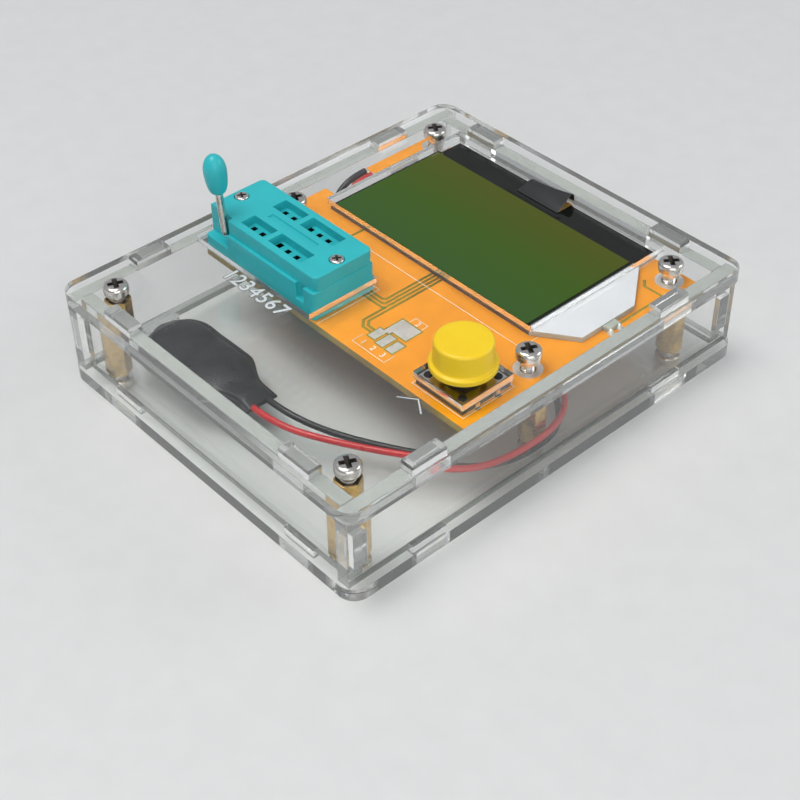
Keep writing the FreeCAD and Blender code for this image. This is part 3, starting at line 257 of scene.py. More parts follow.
def node_copy(node: str) -> Piece:
    """Merged copy of a CAD node with a mesh of its own.

    Args:
        node: Name of the CAD node.

    Returns:
        The copy, which rides on nothing yet.
    """
    activate(frame["nodes"][node])
    bpy.ops.object.duplicate()
    copy = bpy.context.view_layer.objects.active
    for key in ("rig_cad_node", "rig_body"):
        del copy[key]
    copy.data.materials.clear()
    bpy.ops.mesh.customdata_custom_splitnormals_clear()
    edit(copy)
    bpy.ops.mesh.remove_doubles(threshold=MERGE_REACH)
    bpy.ops.mesh.dissolve_limited(angle_limit=FLAT_ANGLE)
    done()
    return copy


def turned(profile: Line, steps: int) -> Piece:
    """Body of revolution about Z.

    Args:
        profile: Radius and height pairs, a closed line or one with both ends on the axis.
        steps: Faces round the axis.

    Returns:
        The closed mesh object at the origin.
    """
    mesh = bpy.data.meshes.new("turning")
    points = [(radius * MM, 0, height * MM) for radius, height in profile]
    mesh.from_pydata(points, [(i, i + 1) for i in range(len(points) - 1)], [])
    obj = linked("turning", mesh)
    bpy.context.tool_settings.mesh_select_mode = (True, False, False)
    bpy.ops.object.mode_set(mode="EDIT")
    bpy.ops.mesh.select_all(action="SELECT")
    bpy.ops.mesh.spin(steps=steps, angle=math.tau, center=(0, 0, 0), axis=(0, 0, 1))
    done()
    clean(obj)
    return obj


def arc(centre: Pair, radii: Pair, start: float, end: float, count: int) -> list[Pair]:
    """Points of a round or an oval in a profile.

    Args:
        centre: Radius and height of its centre.
        radii: Its radii outwards and upwards.
        start: First angle in degrees, from outwards, upwards positive.
        end: Last angle in degrees.
        count: Number of points.

    Returns:
        Radius and height pairs.
    """
    angles = [math.radians(start + (end - start) * i / (count - 1)) for i in range(count)]
    return [(centre[0] + radii[0] * math.cos(a), centre[1] + radii[1] * math.sin(a)) for a in angles]


def block(low: Place, high: Place) -> Piece:
    """Box with its place in its mesh.

    Args:
        low: Lowest corner in millimetres.
        high: Highest corner in millimetres.

    Returns:
        The mesh object.
    """
    middle = [(a + b) / 2 * MM for a, b in zip(low, high)]
    deselect()
    bpy.ops.mesh.primitive_cube_add(size=1.0, location=middle)
    obj = bpy.context.object
    obj.scale = [(b - a) * MM for a, b in zip(low, high)]
    apply_place(obj)
    return obj


def joined(pieces: Sequence[Piece]) -> Piece:
    """Joins pieces into the first one.

    Args:
        pieces: Mesh objects, at least one.

    Returns:
        The first object.
    """
    deselect()
    for piece in pieces:
        piece.select_set(True)
    bpy.context.view_layer.objects.active = pieces[0]
    if len(pieces) > 1:
        bpy.ops.object.join()
    return pieces[0]


def stamped(master: Piece, places: Iterable[Matrix]) -> Piece:
    """Copies of a finished shape, each with its own mesh, joined as one piece.

    Args:
        master: Shape about the origin, kept for more copies.
        places: Matrix of each copy.

    Returns:
        The joined copies, with their places in the mesh.
    """
    copies = []
    for place in places:
        activate(master)
        bpy.ops.object.duplicate()
        copy = bpy.context.view_layer.objects.active
        copy.matrix_world = place
        apply_place(copy)
        copies.append(copy)
    return joined(copies)


def discard(obj: Piece) -> None:
    """Deletes a shape that was only a master or a cutter."""
    bpy.data.objects.remove(obj, do_unlink=True)


def cut(obj: Piece, cutter: Piece) -> None:
    """Takes a cutter's shape out of a piece and deletes the cutter."""
    modify(obj, "BOOLEAN", operation="DIFFERENCE", object=cutter, solver="EXACT")
    discard(cutter)


def row_of(profile: Line, places: Iterable[Matrix], steps: int) -> Piece:
    """Turned shapes at several places, as one piece.

    Args:
        profile: Radius and height pairs.
        places: Matrix of each shape.
        steps: Faces round each shape.

    Returns:
        The joined shapes.
    """
    master = turned(profile, steps)
    obj = stamped(master, places)
    discard(master)
    return obj


def tube(name: str, lines: Iterable[Sequence[Place]], width: float, fineness: int, kind: str) -> Piece:
    """Capped tubes along lines.

    Args:
        name: Name of the curve.
        lines: Points of each line in millimetres.
        width: Width of the tubes.
        fineness: Bevel resolution, higher for rounder tubes.
        kind: Spline type, POLY for straight stretches or NURBS for bends.

    Returns:
        The curve object.
    """
    curve = bpy.data.curves.new(name, "CURVE")
    curve.dimensions = "3D"
    curve.bevel_depth = width / 2 * MM
    curve.bevel_resolution = fineness
    curve.use_fill_caps = True
    for line in lines:
        spline = curve.splines.new(kind)
        spline.points.add(len(line) - 1)
        for point, place in zip(spline.points, line):
            point.co = (*(Vector(place) * MM), 1)
        spline.use_endpoint_u = True
        spline.order_u = 3
        spline.resolution_u = 8
    return linked(name, curve)


def ribbon(lines: Iterable[Line], width: float, level: float, rise: float) -> Piece:
    """Flat lines on a level face.

    Args:
        lines: Corners of each line in millimetres.
        width: Width of the lines.
        level: Height of the face.
        rise: Thickness of the lines.

    Returns:
        One mesh object.
    """
    tube("lines", [[(x, y, 0) for x, y in line] for line in lines], width, 1, "POLY")
    bpy.ops.object.convert(target="MESH")
    obj = bpy.context.object
    obj.scale.z = 2 * rise / width
    obj.location.z = level * MM
    clean(obj)
    apply_place(obj)
    return obj


def lettering(text: str, place: Place, height: float, rise: float, weight: float = 0.0) -> Piece:
    """Plain digits lying on a level face.

    Args:
        text: Characters.
        place: Middle of the text, on the face.
        height: Height of the characters.
        rise: Thickness of the characters.
        weight: Added width on each side of the strokes.

    Returns:
        A mesh object.
    """
    deselect()
    bpy.ops.object.text_add()
    obj = bpy.context.object
    obj.data.body = text
    obj.data.align_x = "CENTER"
    obj.data.align_y = "CENTER"
    obj.data.size = height / DIGIT_SHARE * MM
    obj.data.extrude = rise / 2 * MM
    obj.data.offset = weight * MM
    obj.data.resolution_u = 4
    activate(obj)
    bpy.ops.object.convert(target="MESH")
    obj = bpy.context.object
    obj.location = (Vector(place) + Vector((0, 0, rise / 2))) * MM
    apply_place(obj)
    clean(obj)
    return obj


def mark_faces(obj: Piece, index: int, test: FaceTest) -> None:
    """Gives the faces that pass a test another material slot.

    Args:
        obj: Piece to mark.
        index: Number of the slot.
        test: Accepts a face by its centre and normal.
    """
    while len(obj.data.materials) <= index:
        obj.data.materials.append(None)
    for face in obj.data.polygons:
        if test(face.center, face.normal):
            face.material_index = index


def sides(axis: int, limit: float = 0.9) -> FaceTest:
    """Test for faces whose normal holds less of an axis than a limit."""
    return lambda centre, normal: abs(normal[axis]) < limit


def keep(obj: Piece, name: str, finishes: Sequence["Finish"], nodes: Sequence[str] = (),
         body: Body = Body.CASE) -> Piece:
    """Names and dresses a finished piece and sets it on its body.

    Args:
        obj: Finished piece.
        name: Name of the piece.
        finishes: Finish of each material slot.
        nodes: CAD nodes that it stands for.
        body: Body that it rides on.

    Returns:
        The same object.
    """
    obj.name = name
    obj.data.name = name
    while len(obj.data.materials) < len(finishes):
        obj.data.materials.append(None)
    for index, finish in enumerate(finishes):
        obj.data.materials[index] = finish.material()
    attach(obj, body.value)
    if nodes:
        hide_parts(*nodes)
    log.info("%s rides on %s", name, body.value)
    return obj


def softened(node: str, name: str, width: float, finishes: Sequence["Finish"],
             tests: Sequence[FaceTest] = (), body: Body = Body.CASE, angle: float = 35.0,
             segments: int = 2) -> Piece:
    """Bevelled and smoothed copy of a CAD node, kept in the node's place.

    Args:
        node: CAD node that the piece stands for.
        name: Name of the piece.
        width: Width of the bevels in millimetres, or 0 for none.
        finishes: Finish of each material slot.
        tests: Face test of each finish after the first.
        body: Body that the piece rides on.
        angle: Angle in degrees up to which it is shaded smooth.
        segments: Faces across a bevel.

    Returns:
        The piece.
    """
    obj = node_copy(node)
    if width:
        round_edges(obj, width, segments)
    for index, test in enumerate(tests, 1):
        mark_faces(obj, index, test)
    smooth(obj, angle)
    return keep(obj, name, finishes, [node], body)


def dress(node: str, finish: "Finish") -> None:
    """Gives a CAD node that stays as it is its finish.

    Args:
        node: Name of the CAD node.
        finish: Its finish.
    """
    mesh = frame["nodes"][node].data
    mesh.materials.clear()
    mesh.materials.append(finish.material())
    log.info("%s keeps its CAD shape", node)


class Graph:
    """Node tree of one finish, read on object coordinates."""

    def __init__(self, name: str) -> None:
        """Starts an empty tree with an output.

        Args:
            name: Name of the material.
        """
        material = bpy.data.materials.new(name)
        material.use_nodes = True
        self.nodes = material.node_tree.nodes
        self.links = material.node_tree.links
        self.nodes.clear()
        self.output = self.nodes.new("ShaderNodeOutputMaterial")
        self.place = self.nodes.new("ShaderNodeTexCoord").outputs["Object"]

    def add(self, kind: str, inputs: dict[str | int, object], **settings: object) -> bpy.types.Node:
        """Adds a node.

        Args:
            kind: Node type.
            inputs: Value or source of each input socket.
            settings: Values of the node's own properties.

        Returns:
            The node.
        """
        node = self.nodes.new(kind)
        for key, value in settings.items():
            setattr(node, key, value)
        for key, value in inputs.items():
            if isinstance(value, NodeSocket):
                self.links.new(value, node.inputs[key])
            else:
                node.inputs[key].default_value = value
        return node

    def noise(self, size: float, detail: float = 2.0, stretch: Place = (1, 1, 1)) -> NodeSocket:
        """Cloudy pattern.

        Args:
            size: Size of its patches in millimetres.
            detail: Finer layers.
            stretch: Stretch of the coordinates along each axis.

        Returns:
            A value from 0 to 1.
        """
        mapped = self.add("ShaderNodeMapping", {"Vector": self.place, "Scale": stretch}).outputs["Vector"]
        node = self.add("ShaderNodeTexNoise", {"Vector": mapped, "Scale": 1 / (size * MM), "Detail": detail})
        return node.outputs["Fac"]

    def span(self, noise: NodeSocket, low: float, high: float) -> NodeSocket:
        """Noise spread between two numbers."""
        node = self.add("ShaderNodeMapRange", {"Value": noise, "From Min": NOISE_LOW, "From Max": NOISE_HIGH,
                                               "To Min": low, "To Max": high})
        return node.outputs["Result"]

    def ramp(self, value: NodeSocket, stops: Sequence[tuple[float, Colour]]) -> NodeSocket:
        """Colours along a value.

        Args:
            value: Value from 0 to 1.
            stops: Places and colours.

        Returns:
            The colour.
        """
        node = self.add("ShaderNodeValToRGB", {"Fac": value})
        elements = node.color_ramp.elements
        while len(elements) < len(stops):
            elements.new(1.0)
        for element, (position, colour) in zip(elements, stops):
            element.position = position
            element.color = (*colour, 1)
        return node.outputs["Color"]

    def mottled(self, colour: Colour, share: float, size: float) -> NodeSocket:
        """Colour that varies in patches.

        Args:
            colour: Mean colour.
            share: How far it varies, as a share of itself.
            size: Size of the patches in millimetres.

        Returns:
            The colour.
        """
        darker = tuple(c * (1 - share) for c in colour)
        lighter = tuple(min(1.0, c * (1 + share)) for c in colour)
        return self.ramp(self.noise(size, 3), [(0.3, darker), (0.7, lighter)])

    def bump(self, height: NodeSocket, depth: float) -> NodeSocket:
        """Normal of a relief, from a value from 0 to 1 and a depth in millimetres."""
        node = self.add("ShaderNodeBump", {"Height": height, "Strength": 1.0, "Distance": depth * MM})
        return node.outputs["Normal"]

    def surface(self, inputs: dict[str | int, object]) -> NodeSocket:
        """Principled surface led to the output.

        Args:
            inputs: Value or source of each input socket.

        Returns:
            The shader.
        """
        shader = self.add("ShaderNodeBsdfPrincipled", inputs).outputs["BSDF"]
        self.links.new(shader, self.output.inputs["Surface"])
        return shader


@dataclass(frozen=True)
class Finish:
    """Named finish, made once."""

    name: str

    def material(self) -> bpy.types.Material:
        """Material of the finish."""
        title = f"finish_{self.name}"
        if title not in bpy.data.materials:
            self.build(Graph(title))
        return bpy.data.materials[title]

    def build(self, graph: Graph) -> None:
        """Fills the node tree."""
        raise NotImplementedError


@dataclass(frozen=True)
class ClearSheet(Finish):
    """Clear acrylic, polished on its faces or marked by the cutter along its edges."""

    tint: Colour = (0.985, 0.995, 0.99)
    roughness: Pair = (0.0, 0.04)
    mark_size: float = 4.0
    depth: float = 0.0
    clear: float = 1.0
    index: float = 1.49
    lamp_tint: Colour = (0.72, 0.73, 0.725)

    def build(self, graph: Graph) -> None:
        """Clear shader that lets lamps light what is inside.

        Args:
            graph: Node tree to fill.
        """
        marks = graph.noise(self.mark_size, 3)
        shader = graph.surface({
            "Base Color": (*self.tint, 1), "Transmission Weight": self.clear, "IOR": self.index,
            "Roughness": graph.span(marks, *self.roughness), "Normal": graph.bump(marks, self.depth),
        })
        through = graph.add("ShaderNodeBsdfTransparent", {"Color": (*self.lamp_tint, 1)}).outputs["BSDF"]
        lamps = graph.nodes.new("ShaderNodeLightPath").outputs["Is Shadow Ray"]
        mix = graph.add("ShaderNodeMixShader", {0: lamps, 1: shader, 2: through}).outputs["Shader"]
        graph.links.new(mix, graph.output.inputs["Surface"])


@dataclass(frozen=True)
class Moulded(Finish):
    """Moulded or coated surface with a fine grain."""

    colour: Colour
    roughness: float = 0.4
    grain: float = 0.15
    depth: float = 0.004
    shift: float = 0.06
    coat: float = 0.0
    shine: float = 0.5
    shift_size: float = 6.0
    wear: Pair = (0.85, 1.2)
    wear_size: float = 2.0
    coat_roughness: float = 0.08

    def build(self, graph: Graph) -> None:
        """Mottled colour, varied gloss and grain.

        Args:
            graph: Node tree to fill.
        """
        grain = graph.noise(self.grain, 3)
        least, most = (self.roughness * share for share in self.wear)
        graph.surface({
            "Base Color": graph.mottled(self.colour, self.shift, self.shift_size),
            "Roughness": graph.span(graph.noise(self.wear_size, 4), least, most),
            "Normal": graph.bump(grain, self.depth), "Specular IOR Level": self.shine,
            "Coat Weight": self.coat, "Coat Roughness": self.coat_roughness,
        })


@dataclass(frozen=True)
class Metal(Finish):
    """Bare or plated metal with fine lines from its making."""

    colour: Colour
    roughness: float = 0.2
    line: float = 0.3
    stretch: Place = (1, 1, 1)
    depth: float = 0.002
    wear: Pair = (0.7, 1.4)
    stain: float = 0.1
    stain_size: float = 1.6

    def build(self, graph: Graph) -> None:
        """Tinted metal with stained patches and drawn lines.

        Args:
            graph: Node tree to fill.
        """
        lines = graph.noise(self.line, 2, self.stretch)
        least, most = (self.roughness * share for share in self.wear)
        graph.surface({
            "Base Color": graph.mottled(self.colour, self.stain, self.stain_size), "Metallic": 1.0,
            "Roughness": graph.span(lines, least, most), "Normal": graph.bump(lines, self.depth),
        })


@dataclass(frozen=True)
class Striped(Finish):
    """Thin film with conductors along Y."""

    film: Colour = (0.5, 0.26, 0.05)
    conductor: Colour = (0.78, 0.48, 0.14)
    pitch: float = 0.5
    depth: float = 0.01
    roughness: Pair = (0.22, 0.38)
    wear_size: float = 1.5
    metallic: float = 0.25

    def build(self, graph: Graph) -> None:
        """Bands across X over the film's colour.

        Args:
            graph: Node tree to fill.
        """
        scale = WAVE_PERIOD / (self.pitch * MM)
        wave = graph.add("ShaderNodeTexWave", {"Vector": graph.place, "Scale": scale, "Distortion": 0.0},
                         bands_direction="X")
        bands = wave.outputs["Fac"]
        graph.surface({
            "Base Color": graph.ramp(bands, [(0.45, self.film), (0.55, self.conductor)]),
            "Roughness": graph.span(graph.noise(self.wear_size), *self.roughness),
            "Metallic": self.metallic, "Normal": graph.bump(bands, self.depth),
        })


@dataclass(frozen=True)
class ScreenFilm(Finish):
    """Polarising film over the display, greener at the front and browner at the rear."""

    front: Colour = (0.036, 0.104, 0.018)
    middle: Colour = (0.044, 0.106, 0.003)
    rear: Colour = (0.076, 0.090, 0.001)
    front_edge: float = 6.0
    rear_edge: float = 36.0
    cell: float = 0.4
    depth: float = 0.0006
    roughness: Pair = (0.10, 0.16)
    wear_size: float = 5.0
    shine: float = 0.4

    def build(self, graph: Graph) -> None:
        """Colour along Y, with faint cells.

        Args:
            graph: Node tree to fill.
        """
        along = graph.add("ShaderNodeSeparateXYZ", {0: graph.place}).outputs["Y"]
        share = graph.add("ShaderNodeMapRange", {"Value": along, "From Min": self.front_edge * MM,
                                                 "From Max": self.rear_edge * MM}).outputs["Result"]
        cells = graph.noise(self.cell, 1)
        graph.surface({
            "Base Color": graph.ramp(share, [(0.0, self.front), (0.5, self.middle), (1.0, self.rear)]),
            "Roughness": graph.span(graph.noise(self.wear_size, 4), *self.roughness),
            "Normal": graph.bump(cells, self.depth), "Specular IOR Level": self.shine,
        })


@dataclass(frozen=True)
class Leathered(Finish):
    """Soft vinyl with a pebbled grain and small creases."""

    colour: Colour = (0.014, 0.014, 0.016)
    pebble: float = 0.35
    crease: float = 3.0
    depth: float = 0.05
    roughness: Pair = (0.24, 0.40)
    shift: float = 0.35
    shift_size: float = 2.5

    def build(self, graph: Graph) -> None:
        """Pebbles under wider creases.

        Args:
            graph: Node tree to fill.
        """
        cells = graph.add("ShaderNodeTexVoronoi", {"Vector": graph.place, "Scale": 1 / (self.pebble * MM)})
        creases = graph.noise(self.crease, 4)
        height = graph.add("ShaderNodeMath", {0: cells.outputs["Distance"], 1: creases}, operation="ADD")
        graph.surface({
            "Base Color": graph.mottled(self.colour, self.shift, self.shift_size),
            "Roughness": graph.span(creases, *self.roughness),
            "Normal": graph.bump(height.outputs["Value"], self.depth),
        })


POLISHED = ClearSheet("clear_sheet_face")
CUT_EDGE = ClearSheet("clear_sheet_cut", (0.97, 0.985, 0.98), (0.02, 0.09), mark_size=1.5, depth=0.0005,
                      clear=0.82)
FROSTED = Moulded("engraved_frost", (0.74, 0.76, 0.77), 0.7, grain=0.08, depth=0.01)
# Painted shade: dark grey rim of the engraved grooves, round the frosted strokes.
GROOVE_SHADE = Moulded("engraved_groove_painted_shade", (0.15, 0.16, 0.165), 0.6, grain=0.08, depth=0.01)
NICKEL = Metal("plated_steel", (0.78, 0.75, 0.71), 0.20, line=0.5, depth=0.003)
# Painted shade: the plated recess of each screw is coloured near black so that the cross reads as shaded.
RECESS_SHADE = Moulded("screw_recess_painted_shade", (0.030, 0.025, 0.020), 0.55, grain=0.2, depth=0.006, shift=0.3)
BRASS = Metal("turned_brass", (0.64, 0.42, 0.14), 0.24, line=0.25, stretch=(0.2, 0.2, 4), depth=0.004)
STEEL = Metal("drawn_wire", (0.62, 0.60, 0.57), 0.2, line=0.25, stretch=(3, 3, 0.3))
TIN = Metal("tinned_pad", (0.94, 0.93, 0.90), 0.42, line=0.4, depth=0.010)
SPRING = Metal("contact_metal", (0.72, 0.66, 0.52), 0.25, stretch=(1, 1, 0.3))
CAN = Metal("crystal_can", (0.74, 0.74, 0.73), 0.22, stretch=(0.2, 3, 3))
MASK = Moulded("board_mask", (0.90, 0.325, 0.002), 0.45, grain=0.22, depth=0.003, shine=0.25)
TRACE = Moulded("covered_trace", (0.29, 0.25, 0.012), 0.45, grain=0.2, depth=0.003, shift=0.08, shine=0.25)
LAMINATE = Moulded("board_edge", (0.33, 0.25, 0.09), 0.65, grain=0.12, depth=0.02, shift=0.2)
SILK = Moulded("white_ink", (0.86, 0.85, 0.80), 0.55, grain=0.1, depth=0.006)
PACKAGE = Moulded("black_package", (0.018, 0.018, 0.02), 0.5, grain=0.08, depth=0.006, shift=0.15)
SWITCH_BLACK = Moulded("switch_plastic", (0.016, 0.015, 0.015), 0.38, grain=0.12, depth=0.005, shift=0.15)
CERAMIC = Moulded("ceramic_body", (0.30, 0.21, 0.13), 0.45, grain=0.1, shift=0.12)
GUIDE = Moulded("light_guide", (0.70, 0.72, 0.76), 0.35, grain=0.6, depth=0.002, shift=0.03)
GUIDE_SIDE = Moulded("light_guide_side", (0.44, 0.47, 0.42), 0.3, grain=0.8, depth=0.002, shift=0.12,
                     coat=0.2)
# Painted shade: the front faces of the light guide are coloured dark brown to stand for the shade on that
# side.
GUIDE_PAINTED_SHADE = Moulded("light_guide_front_painted_shade", (0.050, 0.042, 0.032), 0.35, grain=0.8, depth=0.002, shift=0.2,
                      coat=0.2)
LAMP = Moulded("lamp_body", (0.42, 0.45, 0.40), 0.25, grain=0.3, depth=0.003, shift=0.1, coat=0.2)
SCREEN = ScreenFilm("screen_film")
GLASS = Moulded("display_glass", (0.010, 0.011, 0.009), 0.06, grain=3.0, depth=0.0003, shift=0.2, shine=0.4)
GLASS_RIM = Moulded("glass_rim", (0.30, 0.34, 0.31), 0.12, grain=1.0, depth=0.002, shift=0.15, coat=0.4)
FLEX = Striped("flex_film")
TAPE = Moulded("black_tape", (0.022, 0.023, 0.026), 0.5, grain=0.3, depth=0.008, shift=0.12)
TEAL = Moulded("socket_plastic", (0.028, 0.52, 0.57), 0.36, grain=0.18, depth=0.006, shift=0.05)
# Painted shade: near-black teal for the slot walls of the socket and for the slider seen down them, so that
# the slots read as deep shade.
PAINTED_SLOT_SHADE = Moulded("slider_and_slot_painted_shade", (0.006, 0.022, 0.025), 0.5, grain=0.18, depth=0.006, shift=0.1)
YELLOW = Moulded("cap_plastic", (1.0, 0.68, 0.012), 0.33, grain=0.4, shift=0.03, coat=0.1)
VINYL = Leathered("clip_vinyl")
RED_PVC = Moulded("red_pvc", (0.52, 0.012, 0.016), 0.30, grain=0.3, depth=0.006, shift=0.1)
BLACK_PVC = Moulded("black_pvc", (0.012, 0.012, 0.013), 0.32, grain=0.3, depth=0.006, shift=0.2)
FLOOR = Moulded("pale_floor", (0.74, 0.745, 0.75), 0.55, grain=6.0, depth=0.02, shift=0.015)


@dataclass
class CaseShell:
    """Six interlocking clear sheets, with digits engraved in front of the socket."""

    edge: float = 0.14
    digits: str = "1234567"
    digit_pitch: float = 2.5
    digit_x: float = -15.1
    digit_y: float = -23.5
    digit_height: float = 3.2
    digit_stroke: float = 0.05
    digit_groove: float = 0.19
    pointer: Line = ((24.6, -24.1), (27.65, -21.9), (30.7, -24.1))
    pointer_stroke: float = 0.5
    pointer_groove: float = 0.8
    stroke_rise: float = 0.05
    groove_rise: float = 0.02
    frost_level: float = LID_TOP + 0.023

    def engraving(self) -> None:
        """Digits of the seven test points and a plain pointer beside the button, frosted strokes over wider
        grooves coloured dark grey as painted shade.
        """
        first = self.digit_x - (len(self.digits) - 1) / 2 * self.digit_pitch
        layers = ((self.groove_rise, self.digit_groove, self.pointer_groove),
                  (self.stroke_rise, self.digit_stroke, self.pointer_stroke))
        digits = []
        for i, digit in enumerate(self.digits):
            place = (first + i * self.digit_pitch, self.digit_y, LID_TOP)
            digits += [lettering(digit, place, self.digit_height, rise, weight) for rise, weight, _ in layers]
        pointer = [ribbon([self.pointer], width, LID_TOP, rise) for rise, _, width in layers]
        for name, pieces in (("engraved_digits", digits), ("engraved_pointer", pointer)):
            obj = joined(pieces)
            # Faces below the frost level keep the dark grey painted shade of the grooves.
            mark_faces(obj, 1, lambda centre, normal: centre.z > self.frost_level * MM)
            keep(obj, name, [GROOVE_SHADE, FROSTED])

    def build(self) -> None:
        """Makes the six sheets, their cut faces told from their polished ones, and the engraving."""
        for across, nodes in ((Sheet.PLATE, ("top_plate", "bottom_plate")),
                              (Sheet.SIDE, ("left_wall", "right_wall")),
                              (Sheet.END, ("front_wall", "rear_wall"))):
            for node in nodes:
                softened(node, f"{node}_sheet", self.edge, [POLISHED, CUT_EDGE],
                         [sides(across.value)], angle=25)
        self.engraving()


@dataclass
class Fasteners:
    """Plated pan-head screws with crossed recesses, and hexagon posts."""

    head: float = 4.9
    height: float = 2.0
    brim: float = 0.15
    brim_height: float = 0.12
    side_share: float = 0.45
    side_power: float = 0.4
    crown_power: float = 0.75
    shank: float = 2.5
    pitch: float = 0.45
    # Depth, start and crest of the thread are shares of its pitch.
    thread_depth: float = 0.55
    thread_start: float = 0.25
    thread_crest: Pair = (0.42, 0.58)
    tip: float = 0.1
    neck: float = 0.1
    recess: float = 3.4
    recess_width: float = 1.0
    recess_depth: float = 1.2
    recess_taper: Place = (0.35, 0.7, 1)
    overcut: float = 0.2
    short: float = 7.0
    long: float = 10.0
    # Right-hand post of each pair.
    front: Pair = (32.8, -42.2)
    middle: Pair = (32.3, 0.2)
    rear: Pair = (32.3, 38.2)
    floor_low: float = 2.0
    turn_step: float = 0.7
    turn_side: float = 0.4
    post_edge: float = 0.22

    def outline(self, length: float) -> list[Pair]:
        """Profile of a screw: grooved shank, brim and flat dome.

        Args:
            length: Length under the head.

        Returns:
            Radius and height pairs.
        """
        half, crest = self.head / 2, self.shank / 2
        root = crest - self.thread_depth * self.pitch
        first = self.thread_start * self.pitch - length
        profile = [(0, -length), (root - self.tip, -length), (root, first)]
        for i in range(int((-self.neck - first) / self.pitch)):
            low = first + i * self.pitch
            profile += [(crest, low + share * self.pitch) for share in self.thread_crest]
            profile.append((root, low + self.pitch))
        profile += [(root, 0), (half - self.brim, 0), (half, self.brim_height)]
        for degrees in range(0, 90, 10):
            angle = math.radians(degrees)
            rise = self.side_share + (1 - self.side_share) * math.sin(angle) ** self.crown_power
            profile.append((half * math.cos(angle) ** self.side_power, self.height * rise))
        return profile + [(0, self.height)]

    def screw(self, length: float) -> Piece:
        """Screw with a tapered cross sunk in its head, the cross's faces coloured near black as painted
        shade.

        Args:
            length: Length under the head.

        Returns:
            The screw, with the underside of its head at the origin.
        """
        obj = turned(self.outline(length), steps=36)
        for finish in (NICKEL, RECESS_SHADE):
            obj.data.materials.append(finish.material())
        arm, width = self.recess / 2, self.recess_width / 2
        low, high = self.height - self.recess_depth, self.height + self.overcut
        for turn in (0, math.pi / 2):
            cutter = block((-arm, -width, low), (arm, width, high))
            edit(cutter, lambda centre, normal: normal.z < -0.5)
            bpy.ops.transform.resize(value=self.recess_taper)
            done()
            cutter.matrix_world = Matrix.Rotation(turn, 4, "Z")
            apply_place(cutter)
            # The cut faces take the near-black painted shade of the recess.
            cutter.data.materials.append(RECESS_SHADE.material())
            cut(obj, cutter)
        smooth(obj, angle=40)
        return obj

    def pairs(self, posts: Sequence[Pair], level: float, flipped: bool) -> list[Matrix]:
        """Left and right place of each pair of posts.

        Args:
            posts: Right-hand places.
            level: Height of the face under the heads.
            flipped: Whether the heads hang downwards.

        Returns:
            Matrix of each screw, each turned its own way.
        """
        places = []
        tip = Matrix.Rotation(math.pi if flipped else 0.0, 4, "X")
        for x, y in posts:
            for side in (-1, 1):
                turn = Matrix.Rotation(self.turn_step * len(places) + self.turn_side * side, 4, "Z")
                places.append(at(side * x, y, level) @ tip @ turn)
        return places

    def build(self) -> None:
        """Makes the screws from above and below, and the posts."""
        short, long = self.screw(self.short), self.screw(self.long)
        board = [self.middle, self.rear]
        for name, master, posts, level, flipped in (
                ("top_corner_screws", short, [self.front], LID_TOP, False),
                ("top_board_screws", long, board, LID_TOP, False),
                ("bottom_screws", short, [self.front] + board, self.floor_low, True)):
            obj = stamped(master, self.pairs(posts, level, flipped))
            keep(obj, f"{name}_set", [NICKEL, RECESS_SHADE], [name])
        discard(short)
        discard(long)
        for node in ("corner_posts", "board_posts"):
            softened(node, f"{node}_set", self.post_edge, [BRASS])


